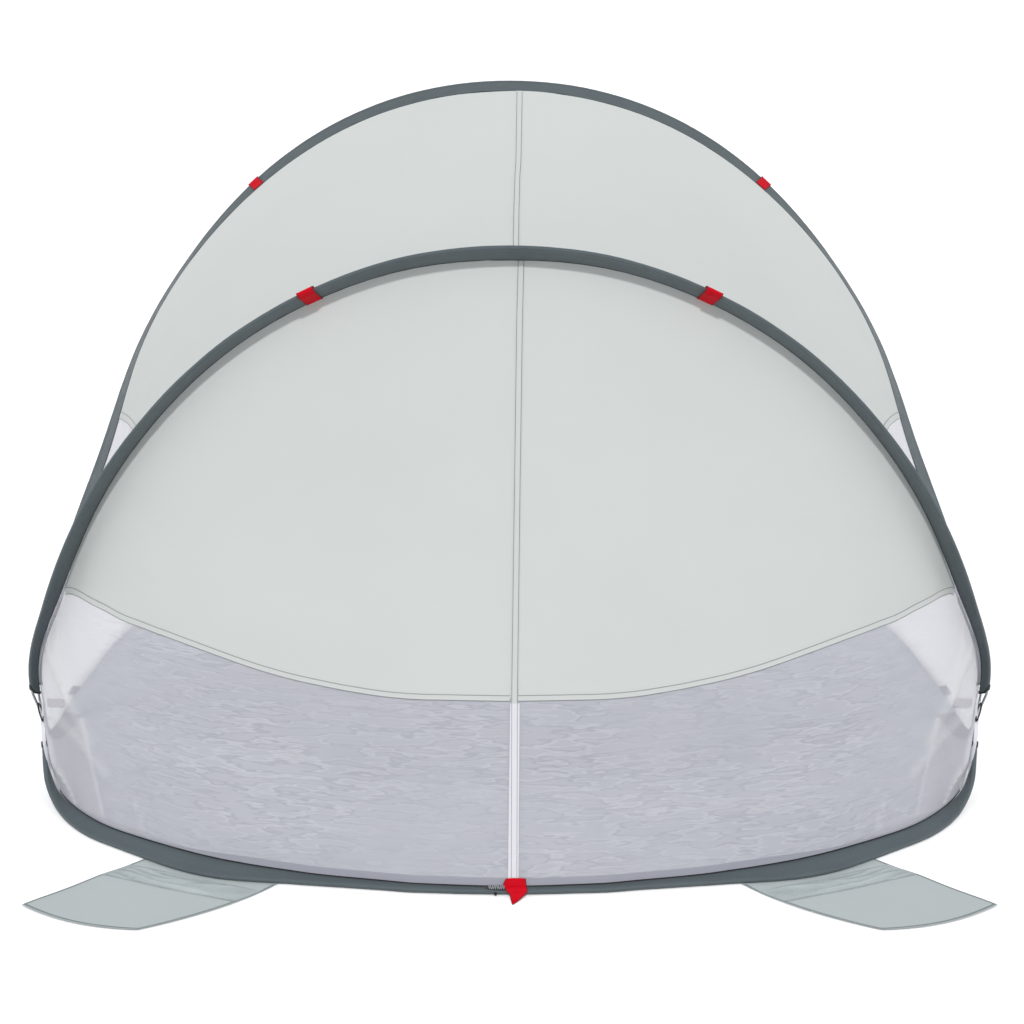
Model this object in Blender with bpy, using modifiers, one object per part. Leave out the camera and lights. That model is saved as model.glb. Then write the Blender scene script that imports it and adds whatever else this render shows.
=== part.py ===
"""Pop-up beach tent: two sprung loops that cross at each side, with a sewn canopy between them.

Units are metres, +Z is up. The back of the tent faces -Y and its open entrance faces +Y.
One loop runs along the back edge of the floor and over the tall arch above the entrance.
The other runs along the front edge of the floor and over the low arch above the back panel.
Both lie in flat sewn sleeves, which stop short of the two crossings.
"""

import math

import bmesh
import bpy
import numpy as np

# Driving dimensions of the frame, with depth counted from the back edge of the floor
crossing_half_width = 0.952
crossing_depth = 0.435
crossing_height = 0.147
low_arch_depth = 0.335
low_arch_height = 1.127
tall_arch_depth = 1.120
tall_arch_height = 1.251
front_edge_depth = 1.340
arch_bow = 0.070

# Clearances
fit_gap = 0.0003
seam_gap = 0.0010
join_offset = 0.0009

# Sprung rods and the ferrules that close them
rod_diameter = 0.005
rod_play = 0.0007
ferrule_wall = 0.0003
ferrule_fit = 0.0002
ferrule_length = 0.044
ferrule_start = 0.010

# Sleeves of the rods
sleeve_wall = 0.0008
sleeve_depth = 0.046
sleeve_end_depth = 0.022
sleeve_tail_thickness = 0.0024
arch_rod_out = 0.020
arch_end_rod_out = 0.004
taper_start_share = 0.74
turn_start_share = 0.70
turn_end_share = 0.88
bare_rod_low = 0.042
bare_rod_tall = 0.044
bare_rod_back = 0.056
bare_rod_front = 0.052
binding_width = 0.007
binding_wall = 0.0008
binding_gap = 0.0006

# Sheets and tapes
panel_thickness = 0.0010
tape_thickness = 0.0008
centre_tape_left = 0.001
centre_tape_right = 0.021
curved_tape_width = 0.011
roof_tape_width = 0.012
tape_start = 0.006
tape_least_run = 0.002
mesh_overlap = 0.018
panel_sag = 0.008
roof_sag = 0.020
floor_rise_run = 0.026
floor_rise_fade = 0.7
floor_side_gap = 0.15

# Webbing loops
webbing_width = 0.030
webbing_thickness = 0.0012
guy_loop_gap = 0.0009
guy_eye_reach = 0.009
guy_eye_round = 0.0035
low_guy_share = 0.252
tall_guy_share = 0.335
tall_guy_width = 0.024
peg_loop_share = 0.795
peg_loop_reach = 0.017
peg_loop_height = 0.004

# Sand flaps, lying on the ground beside the back edge
flap_side_share = 0.5898
flap_depth_share = 0.1333
flap_slope_share = 0.7493
flap_inner_width = 0.272
flap_outer_width = 0.2375
flap_reach = 0.2185
flap_skew = 0.1615
flap_hinge_out = 0.0315
flap_hinge_gap = 0.0006
flap_side_bow = 0.020
flap_outer_bow = 0.018

# Peg tab at the middle of the back edge
peg_tab_offset = 0.010
peg_tab_reach = 0.036
peg_tab_point = 0.012
peg_tab_tip_offset = -0.0045
peg_tab_hinge_gap = 0.0006
peg_strap_cover = 0.018

# Elastic ties at the crossings and the patches beside them
elastic_diameter = 0.003
elastic_up = 0.0135
elastic_down = 0.030
patch_lift = 0.0008

# Where the fabric of each panel gives way to mesh
back_seam_share = 0.700
back_seam_end_share = 0.812
back_seam_power = 3.0
seam_corner_place = 0.12
roof_seam_low_share = 0.525
roof_seam_tall_share = 0.685

# Resolution
half_stations = 24
station_power = 1.45
spline_steps = 24
fabric_rows = 4
mesh_rows = 3
roof_rows = 5
roof_fabric_columns = 11
roof_mesh_columns = 10
gusset_columns = 3
floor_steps = 3
elastic_sides = 16
ferrule_sides = 12

# Points of the arches: half width and rise, as shares of their named sizes
low_arch_shares = (
    (0.0, 1.0), (0.188, 0.983), (0.340, 0.937), (0.533, 0.833),
    (0.695, 0.686), (0.839, 0.483), (0.937, 0.272), (0.991, 0.115),
)
tall_arch_shares = (
    (0.0, 1.0), (0.309, 0.953), (0.531, 0.847), (0.707, 0.697), (0.818, 0.545),
    (0.878, 0.399), (0.942, 0.257), (0.985, 0.155), (1.007, 0.070),
)

# Points of the edges on the ground: half width, depth and height, as shares of their named sizes
back_edge_shares = (
    (0.0, -0.036, 0.0), (0.248, 0.001, 0.0), (0.494, 0.040, 0.0), (0.640, 0.120, 0.0), (0.771, 0.283, 0.0),
    (0.855, 0.401, 0.0), (0.915, 0.535, 0.02), (0.947, 0.640, 0.08), (0.970, 0.735, 0.22), (0.985, 0.830, 0.50),
)
front_edge_shares = (
    (0.0, 1.0, 0.0), (0.360, 0.985, 0.0), (0.620, 0.925, 0.0), (0.800, 0.820, 0.0), (0.917, 0.672, 0.0),
    (0.965, 0.478, 0.0), (0.988, 0.340, 0.0), (1.003, 0.220, 0.0), (1.007, 0.145, 0.08),
    (1.006, 0.090, 0.26), (1.003, 0.045, 0.60),
)

# Direction from the seam of each sleeve to its rod, at shares of the sleeve's length
low_lean_shares = (
    (0.0, (0.0, -0.70, 0.71)), (0.35, (-0.20, -0.82, 0.53)), (0.6, (-0.4, -0.85, 0.25)),
    (0.8, (-0.5, -0.85, 0.12)), (0.93, (-0.5, -0.87, 0.0)), (1.0, (-0.6, -0.8, 0.0)),
)
tall_lean_shares = (
    (0.0, (0.0, 0.94, 0.1)), (0.3, (-0.1, 0.95, 0.1)), (0.5, (-0.15, 0.95, 0.0)),
    (0.65, (-0.3, 0.9, -0.1)), (0.8, (-0.45, 0.85, -0.2)), (1.0, (-0.6, 0.75, -0.15)),
)
back_lean_shares = (
    (0.0, (0.0, -1.0, 0.0)), (0.3, (0.0, -1.0, 0.0)), (0.42, (-0.15, -0.93, -0.25)),
    (0.55, (-0.3, -0.82, -0.4)), (0.75, (-0.6, -0.65, -0.35)), (0.82, (-0.4, -0.85, -0.05)),
    (0.88, (-0.2, -0.92, 0.2)), (1.0, (0.0, -0.95, 0.35)),
)
front_lean_shares = (
    (0.0, (0.0, 1.0, 0.0)), (0.4, (-0.3, 0.95, 0.0)), (0.6, (-0.8, 0.5, 0.0)), (0.85, (-0.9, 0.3, 0.0)),
    (0.90, (-0.9, 0.2, 0.2)), (0.925, (-0.7, 0.4, 0.45)), (0.96, (-0.3, 0.6, 0.6)), (1.0, (-0.05, 0.8, 0.6)),
)

# Ends of a patch: its place along the low arch, then its upper and lower edge down the back panel
patch_end_shares = ((0.864, 0.439, 0.487), (0.922, 0.394, 0.462))

# Section of a sleeve round its rod, as the angle between its corners
sleeve_corner_angle = math.radians(52.0)

rod_radius = rod_diameter / 2
ferrule_radius = rod_radius + ferrule_fit + ferrule_wall / 2
sleeve_radius = (rod_radius + rod_play + sleeve_wall / 2) / math.cos(sleeve_corner_angle / 2)
sleeve_outer_radius = sleeve_radius + sleeve_wall / 2 / math.cos(sleeve_corner_angle / 2)
sleeve_tail_across = (sleeve_tail_thickness - sleeve_wall) / 2
back_lift = panel_thickness + fit_gap + sleeve_outer_radius
front_lift = sleeve_outer_radius
crossing_offset = rod_radius + fit_gap / 2
tape_offset = panel_thickness / 2 + fit_gap + tape_thickness / 2


def unit(vector):
    """A vector of length one in the same direction."""
    return vector / np.linalg.norm(vector)


def across(point):
    """The same point on the other side of the tent."""
    return np.array((-point[0], point[1], point[2]))


def mirrored(rows):
    """The same rows of points on the other side of the tent."""
    return [[across(point) for point in row] for row in rows]


def unchanged(rows):
    """The rows as they are."""
    return rows


def periodic_spline(points, steps):
    """Points along the closed cubic curve through the given points."""
    places = np.asarray(points, float)
    count = len(places)
    spans = np.linalg.norm(np.roll(places, -1, 0) - places, axis=1)
    matrix = np.zeros((count, count))
    rates = np.zeros((count, 3))
    for i in range(count):
        after = (i + 1) % count
        matrix[i, i - 1] = spans[i - 1]
        matrix[i, i] = 2 * (spans[i - 1] + spans[i])
        matrix[i, after] = spans[i]
        slope_out = (places[after] - places[i]) / spans[i]
        slope_in = (places[i] - places[i - 1]) / spans[i - 1]
        rates[i] = 6 * (slope_out - slope_in)
    bends = np.linalg.solve(matrix, rates)
    curve = []
    for i in range(count):
        after = (i + 1) % count
        span = spans[i]
        for k in range(steps):
            done = span * k / steps
            left = span - done
            cubic = (bends[i] * left ** 3 + bends[after] * done ** 3) / (6 * span)
            near = (places[i] / span - bends[i] * span / 6) * left
            far = (places[after] / span - bends[after] * span / 6) * done
            curve.append(cubic + near + far)
    return np.array(curve)


def arch_points(shares, depth, height, bow):
    """Points of one arch on the left side, from its top down towards the crossing."""
    points = []
    for side, rise in shares:
        y = crossing_depth + (depth - crossing_depth) * rise + bow * 4 * rise * (1 - rise)
        z = crossing_height + (height - crossing_height) * rise
        points.append((-crossing_half_width * side, y, z))
    return points


def edge_points(shares, start, end, lift):
    """Points of one floor edge on the left side, from its middle out to the crossing."""
    points = []
    for side, along, rise in shares:
        y = start + (end - start) * along
        z = lift + (crossing_height - lift) * rise
        points.append((-crossing_half_width * side, y, z))
    return points


def split_loop(edge, arch):
    """The left half of a closed loop, as its floor edge and its arch, each ending at the crossing."""
    left = edge + [(-crossing_half_width, crossing_depth, crossing_height)] + arch[::-1]
    right = [(-x, y, z) for x, y, z in left[1:-1]][::-1]
    curve = periodic_spline(left + right, spline_steps)
    half = curve[:spline_steps * (len(left) - 1) + 1]
    corner = spline_steps * len(edge)
    return half[:corner + 1], half[corner:][::-1]


class Arc:
    """One quarter of the frame, from the middle plane to the left crossing, with its sleeve."""

    def __init__(self, line, leans, bare_rod, rod_out, end_rod_out, least_height):
        steps = np.linalg.norm(np.diff(line, axis=0), axis=1)
        self.line = line
        self.run = np.concatenate([[0], np.cumsum(steps)])
        self.end = 1 - bare_rod / self.run[-1]
        self.leans = leans
        self.shares = 1 - (1 - np.linspace(0, 1, half_stations + 1)) ** station_power
        self.frames = []
        for share in self.shares:
            taper = self.taper(share)
            rod = end_rod_out + (rod_out - end_rod_out) * taper
            depth = sleeve_end_depth + (sleeve_depth - sleeve_end_depth) * taper
            centre, lean, side = self.frame(share, least_height)
            self.frames.append((centre, lean, side, rod, rod - depth))

    def taper(self, share):
        """One along most of the sleeve, falling smoothly to nought at its end."""
        part = max(0.0, (share - taper_start_share) / (1 - taper_start_share))
        return 1 - part * part * (3 - 2 * part)

    def at(self, share):
        """The point at a share of the whole arc's length."""
        place = min(max(share, 0.0), 1.0) * self.run[-1]
        return np.array([np.interp(place, self.run, self.line[:, axis]) for axis in range(3)])

    def frame(self, share, least_height):
        """Point, direction to the rod and direction across the sleeve, at a share of the sleeve."""
        stops = [stop for stop, lean in self.leans]
        lean = np.array([np.interp(share, stops, [way[axis] for stop, way in self.leans]) for axis in range(3)])
        reach = 1 / half_stations / 8
        place = share * self.end
        along = unit(self.at(place + reach) - self.at(place - reach))
        if share == 0:
            along = np.array([-1.0, 0.0, 0.0])
        lean = unit(lean - lean.dot(along) * along)
        centre = self.at(place)
        centre[2] = max(centre[2], least_height)
        return centre, lean, np.cross(along, lean)

    def beside(self, place, measure, out, side):
        """A point at a fractional station, on the straight line between the stations next to it."""
        i = min(int(place), half_stations - 1)
        part = place - i
        ends = []
        for frame in self.frames[i:i + 2]:
            ends.append(frame[0] + frame[1] * (frame[measure] + out) + frame[2] * side)
        return ends[0] * (1 - part) + ends[1] * part

    def from_rod(self, place, out=0.0, side=0.0):
        """A point at distances from the rod, away from the sleeve's seam and across the sleeve."""
        return self.beside(place, 3, out, side)

    def from_tail(self, place, out=0.0, side=0.0):
        """A point at distances from the inner edge of the sleeve."""
        return self.beside(place, 4, out, side)

    def station_at(self, share):
        """The fractional station at a share of the sleeve."""
        return float(np.interp(share, self.shares, range(half_stations + 1)))

    def station_after(self, distance):
        """The fractional station at a distance along the sleeve from the middle plane."""
        return self.station_at(distance / (self.run[-1] * self.end))

    def stations_between(self, start, end):
        """Fractional stations at two distances along the sleeve, and the whole stations between them."""
        first = self.station_after(start)
        last = self.station_after(end)
        return [first] + [float(i) for i in range(half_stations) if first < i < last] + [last]

    def late(self, place):
        """Nought along most of the sleeve, rising smoothly to one where it nears the crossing."""
        share = np.interp(place, range(half_stations + 1), self.shares)
        part = min(max((share - turn_start_share) / (turn_end_share - turn_start_share), 0.0), 1.0)
        return part * part * (3 - 2 * part)


past_rod = sleeve_outer_radius + fit_gap + panel_thickness / 2
past_tail = sleeve_tail_thickness / 2 + (sleeve_outer_radius - sleeve_tail_thickness / 2) * mesh_overlap / sleeve_depth
mesh_rise = past_tail + panel_thickness + 3 * fit_gap
low_points = arch_points(low_arch_shares, low_arch_depth, low_arch_height, -arch_bow)
tall_points = arch_points(tall_arch_shares, tall_arch_depth, tall_arch_height, arch_bow)
back_points = edge_points(back_edge_shares, 0.0, crossing_depth, back_lift)
front_points = edge_points(front_edge_shares, crossing_depth, front_edge_depth, front_lift)
back_line, tall_line = split_loop(back_points, tall_points)
front_line, low_line = split_loop(front_points, low_points)
low = Arc(low_line, low_lean_shares, bare_rod_low, arch_rod_out, arch_end_rod_out, 0.0)
tall = Arc(tall_line, tall_lean_shares, bare_rod_tall, arch_rod_out, arch_end_rod_out, 0.0)
back = Arc(back_line, back_lean_shares, bare_rod_back, 0.0, 0.0, back_lift)
front = Arc(front_line, front_lean_shares, bare_rod_front, 0.0, 0.0, front_lift)
inside_point = np.array((0.0, (crossing_depth + tall_arch_depth) / 2, crossing_height))

part_collection = bpy.data.collections.new("beach_tent")
materials = {}


def start_scene():
    """Remove what the scene holds and link the part's collection."""
    for old in list(bpy.data.objects):
        bpy.data.objects.remove(old, do_unlink=True)
    bpy.context.scene.collection.children.link(part_collection)


def make_material(name, colour, roughness, metallic=0.0):
    """A Principled material."""
    made = bpy.data.materials.new(name)
    made.use_nodes = True
    shader = made.node_tree.nodes["Principled BSDF"]
    shader.inputs["Base Color"].default_value = (*colour, 1.0)
    shader.inputs["Roughness"].default_value = roughness
    shader.inputs["Metallic"].default_value = metallic
    materials[name] = made


def make_materials():
    """Every material of the tent."""
    make_material("canopy_fabric", (0.66, 0.70, 0.68), 0.75)
    make_material("white_mesh", (0.82, 0.82, 0.86), 0.8)
    make_material("sleeve_fabric", (0.10, 0.125, 0.14), 0.7)
    make_material("floor_fabric", (0.50, 0.52, 0.58), 0.5)
    make_material("flap_fabric", (0.48, 0.52, 0.53), 0.45)
    make_material("seam_tape", (0.74, 0.77, 0.78), 0.8)
    make_material("red_webbing", (0.70, 0.012, 0.03), 0.7)
    make_material("black_binding", (0.01, 0.01, 0.012), 0.7)
    make_material("sprung_steel", (0.30, 0.31, 0.32), 0.35, 0.9)
    make_material("ferrule_metal", (0.55, 0.55, 0.56), 0.3, 1.0)


def keep(thing, look):
    """Put a new object in the part's collection with one material."""
    part_collection.objects.link(thing)
    thing.data.materials.append(materials[look])
    return thing


def sheet(name, rows, thickness, look, wrap=False, origin=(0.0, 0.0, 0.0)):
    """A solid sheet through rows of points; wrap joins the last point of each row to its first."""
    mesh = bpy.data.meshes.new(name)
    built = bmesh.new()
    start = np.array(origin)
    grid = [[built.verts.new(point - start) for point in row] for row in rows]
    count = len(grid[0])
    for upper, lower in zip(grid, grid[1:]):
        for j in range(count if wrap else count - 1):
            k = (j + 1) % count
            if wrap and j > count // 2:
                built.faces.new((upper[j], lower[j], upper[k]))
                built.faces.new((lower[j], lower[k], upper[k]))
            else:
                built.faces.new((upper[j], lower[j], lower[k]))
                built.faces.new((upper[j], lower[k], upper[k]))
    built.normal_update()
    built.to_mesh(mesh)
    built.free()
    thing = keep(bpy.data.objects.new(name, mesh), look)
    thing.location = origin
    mesh.shade_smooth()
    solid = thing.modifiers.new("thickness", 'SOLIDIFY')
    solid.thickness = thickness
    solid.offset = 0.0
    solid.use_even_offset = True
    solid.use_rim = True
    return thing


def ring(sides, radius, centre, first, second):
    """Corners of a polygon round a circle, in the plane of two directions."""
    reach = radius / math.cos(math.pi / sides)
    points = []
    for k in range(sides):
        turn = 2 * math.pi * (k + 0.5) / sides
        points.append(centre + first * reach * math.cos(turn) + second * reach * math.sin(turn))
    return points


def sleeve_outline(arc, place, grow, with_tail=True):
    """The section of a sleeve at a fractional station, made larger by grow."""
    reach = sleeve_radius + grow / math.cos(sleeve_corner_angle / 2)
    upper = [(reach * math.cos(sleeve_corner_angle * k), reach * math.sin(sleeve_corner_angle * k)) for k in range(3)]
    upper_side = [arc.from_rod(place, out, side) for out, side in upper]
    lower_side = [arc.from_rod(place, out, -side) for out, side in upper[:0:-1]]
    if not with_tail:
        return lower_side + upper_side
    tail_side = sleeve_tail_across + grow
    tail = [arc.from_tail(place, -grow, tail_side), arc.from_tail(place, -grow, -tail_side)]
    return upper_side + tail + lower_side


def make_sleeve(name, arc):
    """A flat sewn sleeve, open at both ends, with its rod channel at the outer edge."""
    left = [sleeve_outline(arc, i, 0.0) for i in range(half_stations + 1)]
    sheet(name, mirrored(left[1:])[::-1] + left, sleeve_wall, "sleeve_fabric", wrap=True)


def make_end_bindings(name, arc):
    """Black binding round each cut end of a sleeve."""
    grow = sleeve_wall / 2 + binding_gap + binding_wall / 2
    start = arc.station_at(1 - binding_width / (arc.run[-1] * arc.end))
    places = [start] + [i for i in range(half_stations + 1) if i > start]
    rows = [sleeve_outline(arc, place, grow) for place in places]
    sheet(name + "_left", rows, binding_wall, "black_binding", wrap=True)
    sheet(name + "_right", mirrored(rows), binding_wall, "black_binding", wrap=True)


def smooth_between(before, start, end, after):
    """Two points on the smooth curve between start and end."""
    span = np.linalg.norm(end - start)
    run_in = unit(end - before) * span
    run_out = unit(after - start) * span
    made = []
    for part in (1 / 3, 2 / 3):
        square = part ** 2
        cube = part ** 3
        point = (2 * cube - 3 * square + 1) * start + (cube - 2 * square + part) * run_in
        made.append(point + (3 * square - 2 * cube) * end + (cube - square) * run_out)
    return made


def rod_points(edge, arch, sign):
    """The closed line of one rod; sign says on which side of the other rod it crosses."""
    near_side = [edge.from_rod(i) for i in range(half_stations + 1)]
    far_side = [arch.from_rod(i) for i in range(half_stations + 1)]
    crossing = np.array((-crossing_half_width + sign * crossing_offset, crossing_depth, crossing_height))
    rising = smooth_between(near_side[-2], near_side[-1], crossing, far_side[-1])
    leaving = smooth_between(near_side[-1], crossing, far_side[-1], far_side[-2])
    left = near_side + rising + [crossing] + leaving + far_side[::-1]
    right = [across(point) for point in left[1:-1]][::-1]
    return left + right


def wire(name, points, diameter, look, sides_level=2):
    """A closed round wire along a line of points."""
    curve = bpy.data.curves.new(name + "_line", 'CURVE')
    curve.dimensions = '3D'
    curve.bevel_depth = diameter / 2
    curve.bevel_resolution = sides_level
    spline = curve.splines.new('POLY')
    spline.points.add(len(points) - 1)
    for spot, point in zip(spline.points, points):
        spot.co = (*point, 1.0)
    spline.use_cyclic_u = True
    spline.use_smooth = True
    return keep(bpy.data.objects.new(name, curve), look)


def make_ferrule(name, arc):
    """The tube that joins the two ends of a rod, inside the sleeve."""
    rows = []
    for distance in (ferrule_start, ferrule_start + ferrule_length):
        place = arc.station_after(distance)
        centre = arc.from_rod(place)
        first = unit(arc.from_rod(place, 1.0) - centre)
        second = unit(arc.from_rod(place, 0.0, 1.0) - centre)
        rows.append(ring(ferrule_sides, ferrule_radius, centre, first, second))
    sheet(name, rows, ferrule_wall, "ferrule_metal", wrap=True)


def low_back_edge(place):
    """The top edge of the back panel, beside the seam of the low arch."""
    return low.from_tail(place, -seam_gap, -join_offset - (past_rod - join_offset) * low.late(place))


def low_roof_edge(place):
    """The edge of the roof beside the seam of the low arch."""
    return low.from_tail(place, -seam_gap, join_offset)


def tall_edge(place):
    """The edge of the roof beside the seam of the tall arch."""
    return tall.from_tail(place, -seam_gap)


def back_mesh_edge(place):
    """The lower edge of the back panel, on top of the sleeve of the back edge."""
    late = back.late(place)
    return back.from_tail(place, mesh_overlap * (1 - late), mesh_rise + (past_rod - mesh_rise) * late)


def back_floor_edge(place):
    """The edge of the floor beside the seam of the back edge."""
    return back.from_tail(place, -seam_gap, -join_offset)


panel_stop = binding_width + 3 * seam_gap
panel_end = min(arc.station_at(1 - panel_stop / (arc.run[-1] * arc.end)) for arc in (low, tall, back, front))


def panel_point(top, bottom, sag, place, share):
    """A point between two edges, hollowed a little in the middle of the panel."""
    start = top(place)
    end = bottom(place)
    fade = 1 - (place / half_stations) ** 3
    point = start + (end - start) * share
    return point + unit(inside_point - point) * sag * 4 * share * (1 - share) * fade


def back_point(place, share):
    """A point of the back panel: share runs from the low arch to the floor."""
    return panel_point(low_back_edge, back_mesh_edge, panel_sag, place, share)


def roof_point(place, share):
    """A point of the roof: share runs from the low arch to the tall arch."""
    return panel_point(low_roof_edge, tall_edge, roof_sag, place, share)


def raised(surface, place, share, offset):
    """A point at a distance outside a panel."""
    step = 0.02
    along = surface(min(place + step, half_stations), share) - surface(max(place - step, 0.0), share)
    down = surface(place, min(share + step, 1.0)) - surface(place, max(share - step, 0.0))
    normal = unit(np.cross(along, down))
    point = surface(place, share)
    if normal.dot(point - inside_point) < 0:
        normal = -normal
    return point + normal * offset


def drop_length(place):
    """The height of the back panel along its own surface."""
    return np.linalg.norm(low_back_edge(place) - back_mesh_edge(place))


seam_end_place = low.station_at(back_seam_end_share)
seam_places = [float(i) for i in range(half_stations) if i < seam_end_place] + [seam_end_place]
seam_values = []
for seam_place in seam_places:
    reached = np.interp(seam_place, range(half_stations + 1), low.shares) / back_seam_end_share
    seam_values.append(back_seam_share * (1 - min(reached, 1.0) ** back_seam_power))


def seam_share(place):
    """The share of the back panel's height at which its fabric ends and its mesh begins."""
    return float(np.interp(place, seam_places, seam_values))


def centre_places(tape_edge):
    """Stations of a half panel: its centre joint, the edge of the centre tape, then the sleeve's own."""
    stations = sorted([float(i) for i in range(1, half_stations) if i < panel_end] + [seam_end_place, panel_end])
    return [low.station_after(fit_gap / 2), low.station_after(tape_edge)] + stations


def make_back_half(side, tape_edge, turn):
    """The fabric, the mesh and the curved seam tape of one half of the back panel."""
    places = centre_places(tape_edge)
    half_tape = curved_tape_width / 2
    corner = seam_end_place - seam_corner_place

    rows = [[] for k in range(fabric_rows + 2)]
    for p in [p for p in places if p < corner] + [corner]:
        joint = seam_share(p) - fit_gap / drop_length(p)
        tape = max(joint - half_tape / drop_length(p), joint * fabric_rows / (fabric_rows + 1))
        for k in range(fabric_rows + 1):
            rows[k].append(back_point(p, tape * k / fabric_rows))
        rows[-1].append(back_point(p, joint))
    sheet("back_fabric_" + side, turn(rows), panel_thickness, "canopy_fabric")

    rows = [[] for k in range(mesh_rows + 2)]
    for p in places:
        seam = seam_share(p)
        tape = seam + half_tape / drop_length(p)
        rows[0].append(back_point(p, seam))
        for k in range(mesh_rows + 1):
            rows[k + 1].append(back_point(p, tape + (1 - tape) * k / mesh_rows))
    sheet("back_mesh_" + side, turn(rows), panel_thickness, "white_mesh")

    least = half_tape + tape_start + tape_least_run
    tape_places = [low.station_after(tape_edge + fit_gap)]
    tape_places += [p for p in places[2:] if seam_share(p) * drop_length(p) > least]
    rows = []
    for way in (-1, 0, 1):
        shares = [seam_share(p) + way * half_tape / drop_length(p) for p in tape_places]
        rows.append([raised(back_point, p, share, tape_offset) for p, share in zip(tape_places, shares)])
    sheet("back_seam_tape_" + side, turn(rows), tape_thickness, "seam_tape")


roof_seam_low_place = low.station_at(roof_seam_low_share)
roof_seam_tall_place = low.station_at(roof_seam_tall_share)


def roof_seam_place(share):
    """The fractional station of the roof's side seam at a share of the way to the tall arch."""
    return roof_seam_low_place + (roof_seam_tall_place - roof_seam_low_place) * share


def spread(start, end, count):
    """Evenly spaced values from start to end."""
    return [start + (end - start) * k / count for k in range(count + 1)]


def make_roof_half(side, tape_edge, turn):
    """The fabric, the mesh and the side tape of one half of the roof."""
    first, second = centre_places(tape_edge)[:2]
    station = low.run[-1] * low.end / half_stations
    joint = fit_gap / station
    reach = roof_tape_width / 2 / station

    rows = []
    for share in spread(0.0, 1.0, roof_rows):
        seam = roof_seam_place(share)
        places = [first] + spread(second, seam - reach, roof_fabric_columns) + [seam - joint]
        rows.append([roof_point(p, share) for p in places])
    sheet("roof_fabric_" + side, turn(rows), panel_thickness, "canopy_fabric")

    rows = []
    for share in spread(0.0, 1.0, roof_rows):
        seam = roof_seam_place(share)
        places = [seam] + spread(seam + reach, panel_end, roof_mesh_columns)
        rows.append([roof_point(p, share) for p in places])
    sheet("roof_mesh_" + side, turn(rows), panel_thickness, "white_mesh")

    margin = tape_start / np.linalg.norm(low_roof_edge(roof_seam_low_place) - tall_edge(roof_seam_tall_place))
    rows = []
    for share in spread(margin, 1 - margin, roof_rows):
        seam = roof_seam_place(share)
        rows.append([raised(roof_point, seam + way * reach, share, tape_offset) for way in (-1, 0, 1)])
    sheet("roof_seam_tape_" + side, turn(rows), tape_thickness, "seam_tape")


def centre_strip(name, surface, shares):
    """A tape over a centre joint, most of it to the right of the joint."""
    left = low.station_after(centre_tape_left)
    right = low.station_after(centre_tape_right)
    rows = []
    for share in shares:
        points = [raised(surface, left, share, tape_offset), raised(surface, 0.0, share, tape_offset)]
        rows.append(points + [across(raised(surface, right, share, tape_offset))])
    sheet(name, rows, tape_thickness, "seam_tape")


def make_centre_tapes():
    """The tapes over the joints between the left and right halves."""
    margin = tape_start / np.linalg.norm(low_roof_edge(0) - tall_edge(0))
    centre_strip("roof_centre_tape", roof_point, [margin] + spread(0.0, 1.0, roof_rows)[1:-1] + [1 - margin])

    drop = drop_length(0)
    seam = seam_share(0)
    margin = tape_start / drop
    half_tape = curved_tape_width / 2 / drop
    shares = [margin] + spread(0.0, seam - half_tape, fabric_rows)[1:]
    centre_strip("back_centre_tape", back_point, shares + [seam - fit_gap / drop])
    shares = [seam] + spread(seam + half_tape, 1.0, mesh_rows)[:-1]
    centre_strip("mesh_centre_tape", back_point, shares + [1 - margin])


def last_flat_station(arc):
    """The last station at which an edge still lies on the ground."""
    flat = [i for i in range(half_stations + 1) if arc.frames[i][0][2] < arc.frames[0][0][2] + fit_gap]
    return float(flat[-1])


back_corner = last_flat_station(back)
front_corner = last_flat_station(front)
floor_rest = panel_thickness / 2


def floor_column(part):
    """Points of the floor from its back edge to its front edge, at a share of the way to its side."""
    run = floor_rise_run * (1 - floor_rise_fade * part ** 4)
    place = (back_corner - floor_side_gap) * part
    start = back_floor_edge(place)
    foot = back.from_tail(place, -seam_gap - run, -join_offset)
    foot[2] = floor_rest
    place = (front_corner - floor_side_gap) * part
    over_tail = front.from_tail(place, -seam_gap * 2)
    over_tail[2] = front_lift + sleeve_tail_thickness / 2 + fit_gap + panel_thickness / 2
    over_rod = front.from_rod(place)
    over_rod[2] = front_lift + sleeve_outer_radius + fit_gap + panel_thickness / 2
    front_foot = front.from_tail(place, -seam_gap - run)
    front_foot[2] = floor_rest
    if part == 1:
        middle = spread(start, over_tail, floor_steps + 2)[1:-1]
    else:
        middle = spread(foot, front_foot, floor_steps)
    for point in middle:
        point[2] = floor_rest
    middle[0][2] += fit_gap
    middle[-1][2] += fit_gap
    return [start] + middle + [over_tail, over_rod]


def make_floor():
    """The floor sheet, flat on the ground and raised at its edges to the sleeves."""
    left = [floor_column(i / half_stations) for i in range(half_stations + 1)]
    sheet("floor_sheet", mirrored(left[1:])[::-1] + left, panel_thickness, "floor_fabric")


def make_gussets():
    """Small mesh triangles under the crossings, between the rising ends of the two loops."""
    near_places = [back_corner + i for i in range(half_stations) if back_corner + i < panel_end] + [panel_end]
    far_places = [front_corner + i for i in range(half_stations) if front_corner + i < panel_end] + [panel_end]
    while len(far_places) < len(near_places):
        i = int(np.argmax(np.diff(far_places)))
        far_places.insert(i + 1, (far_places[i] + far_places[i + 1]) / 2)
    rows = []
    for near_place, far_place in zip(near_places, far_places):
        near = back.from_tail(near_place, -seam_gap, -join_offset)
        rows.append(spread(near, front.from_tail(far_place, -seam_gap), gusset_columns))
    for point in rows[0][1:-1]:
        point[2] = floor_rest + fit_gap
    sheet("side_gusset_left", rows, panel_thickness, "white_mesh")
    sheet("side_gusset_right", mirrored(rows), panel_thickness, "white_mesh")


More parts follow.
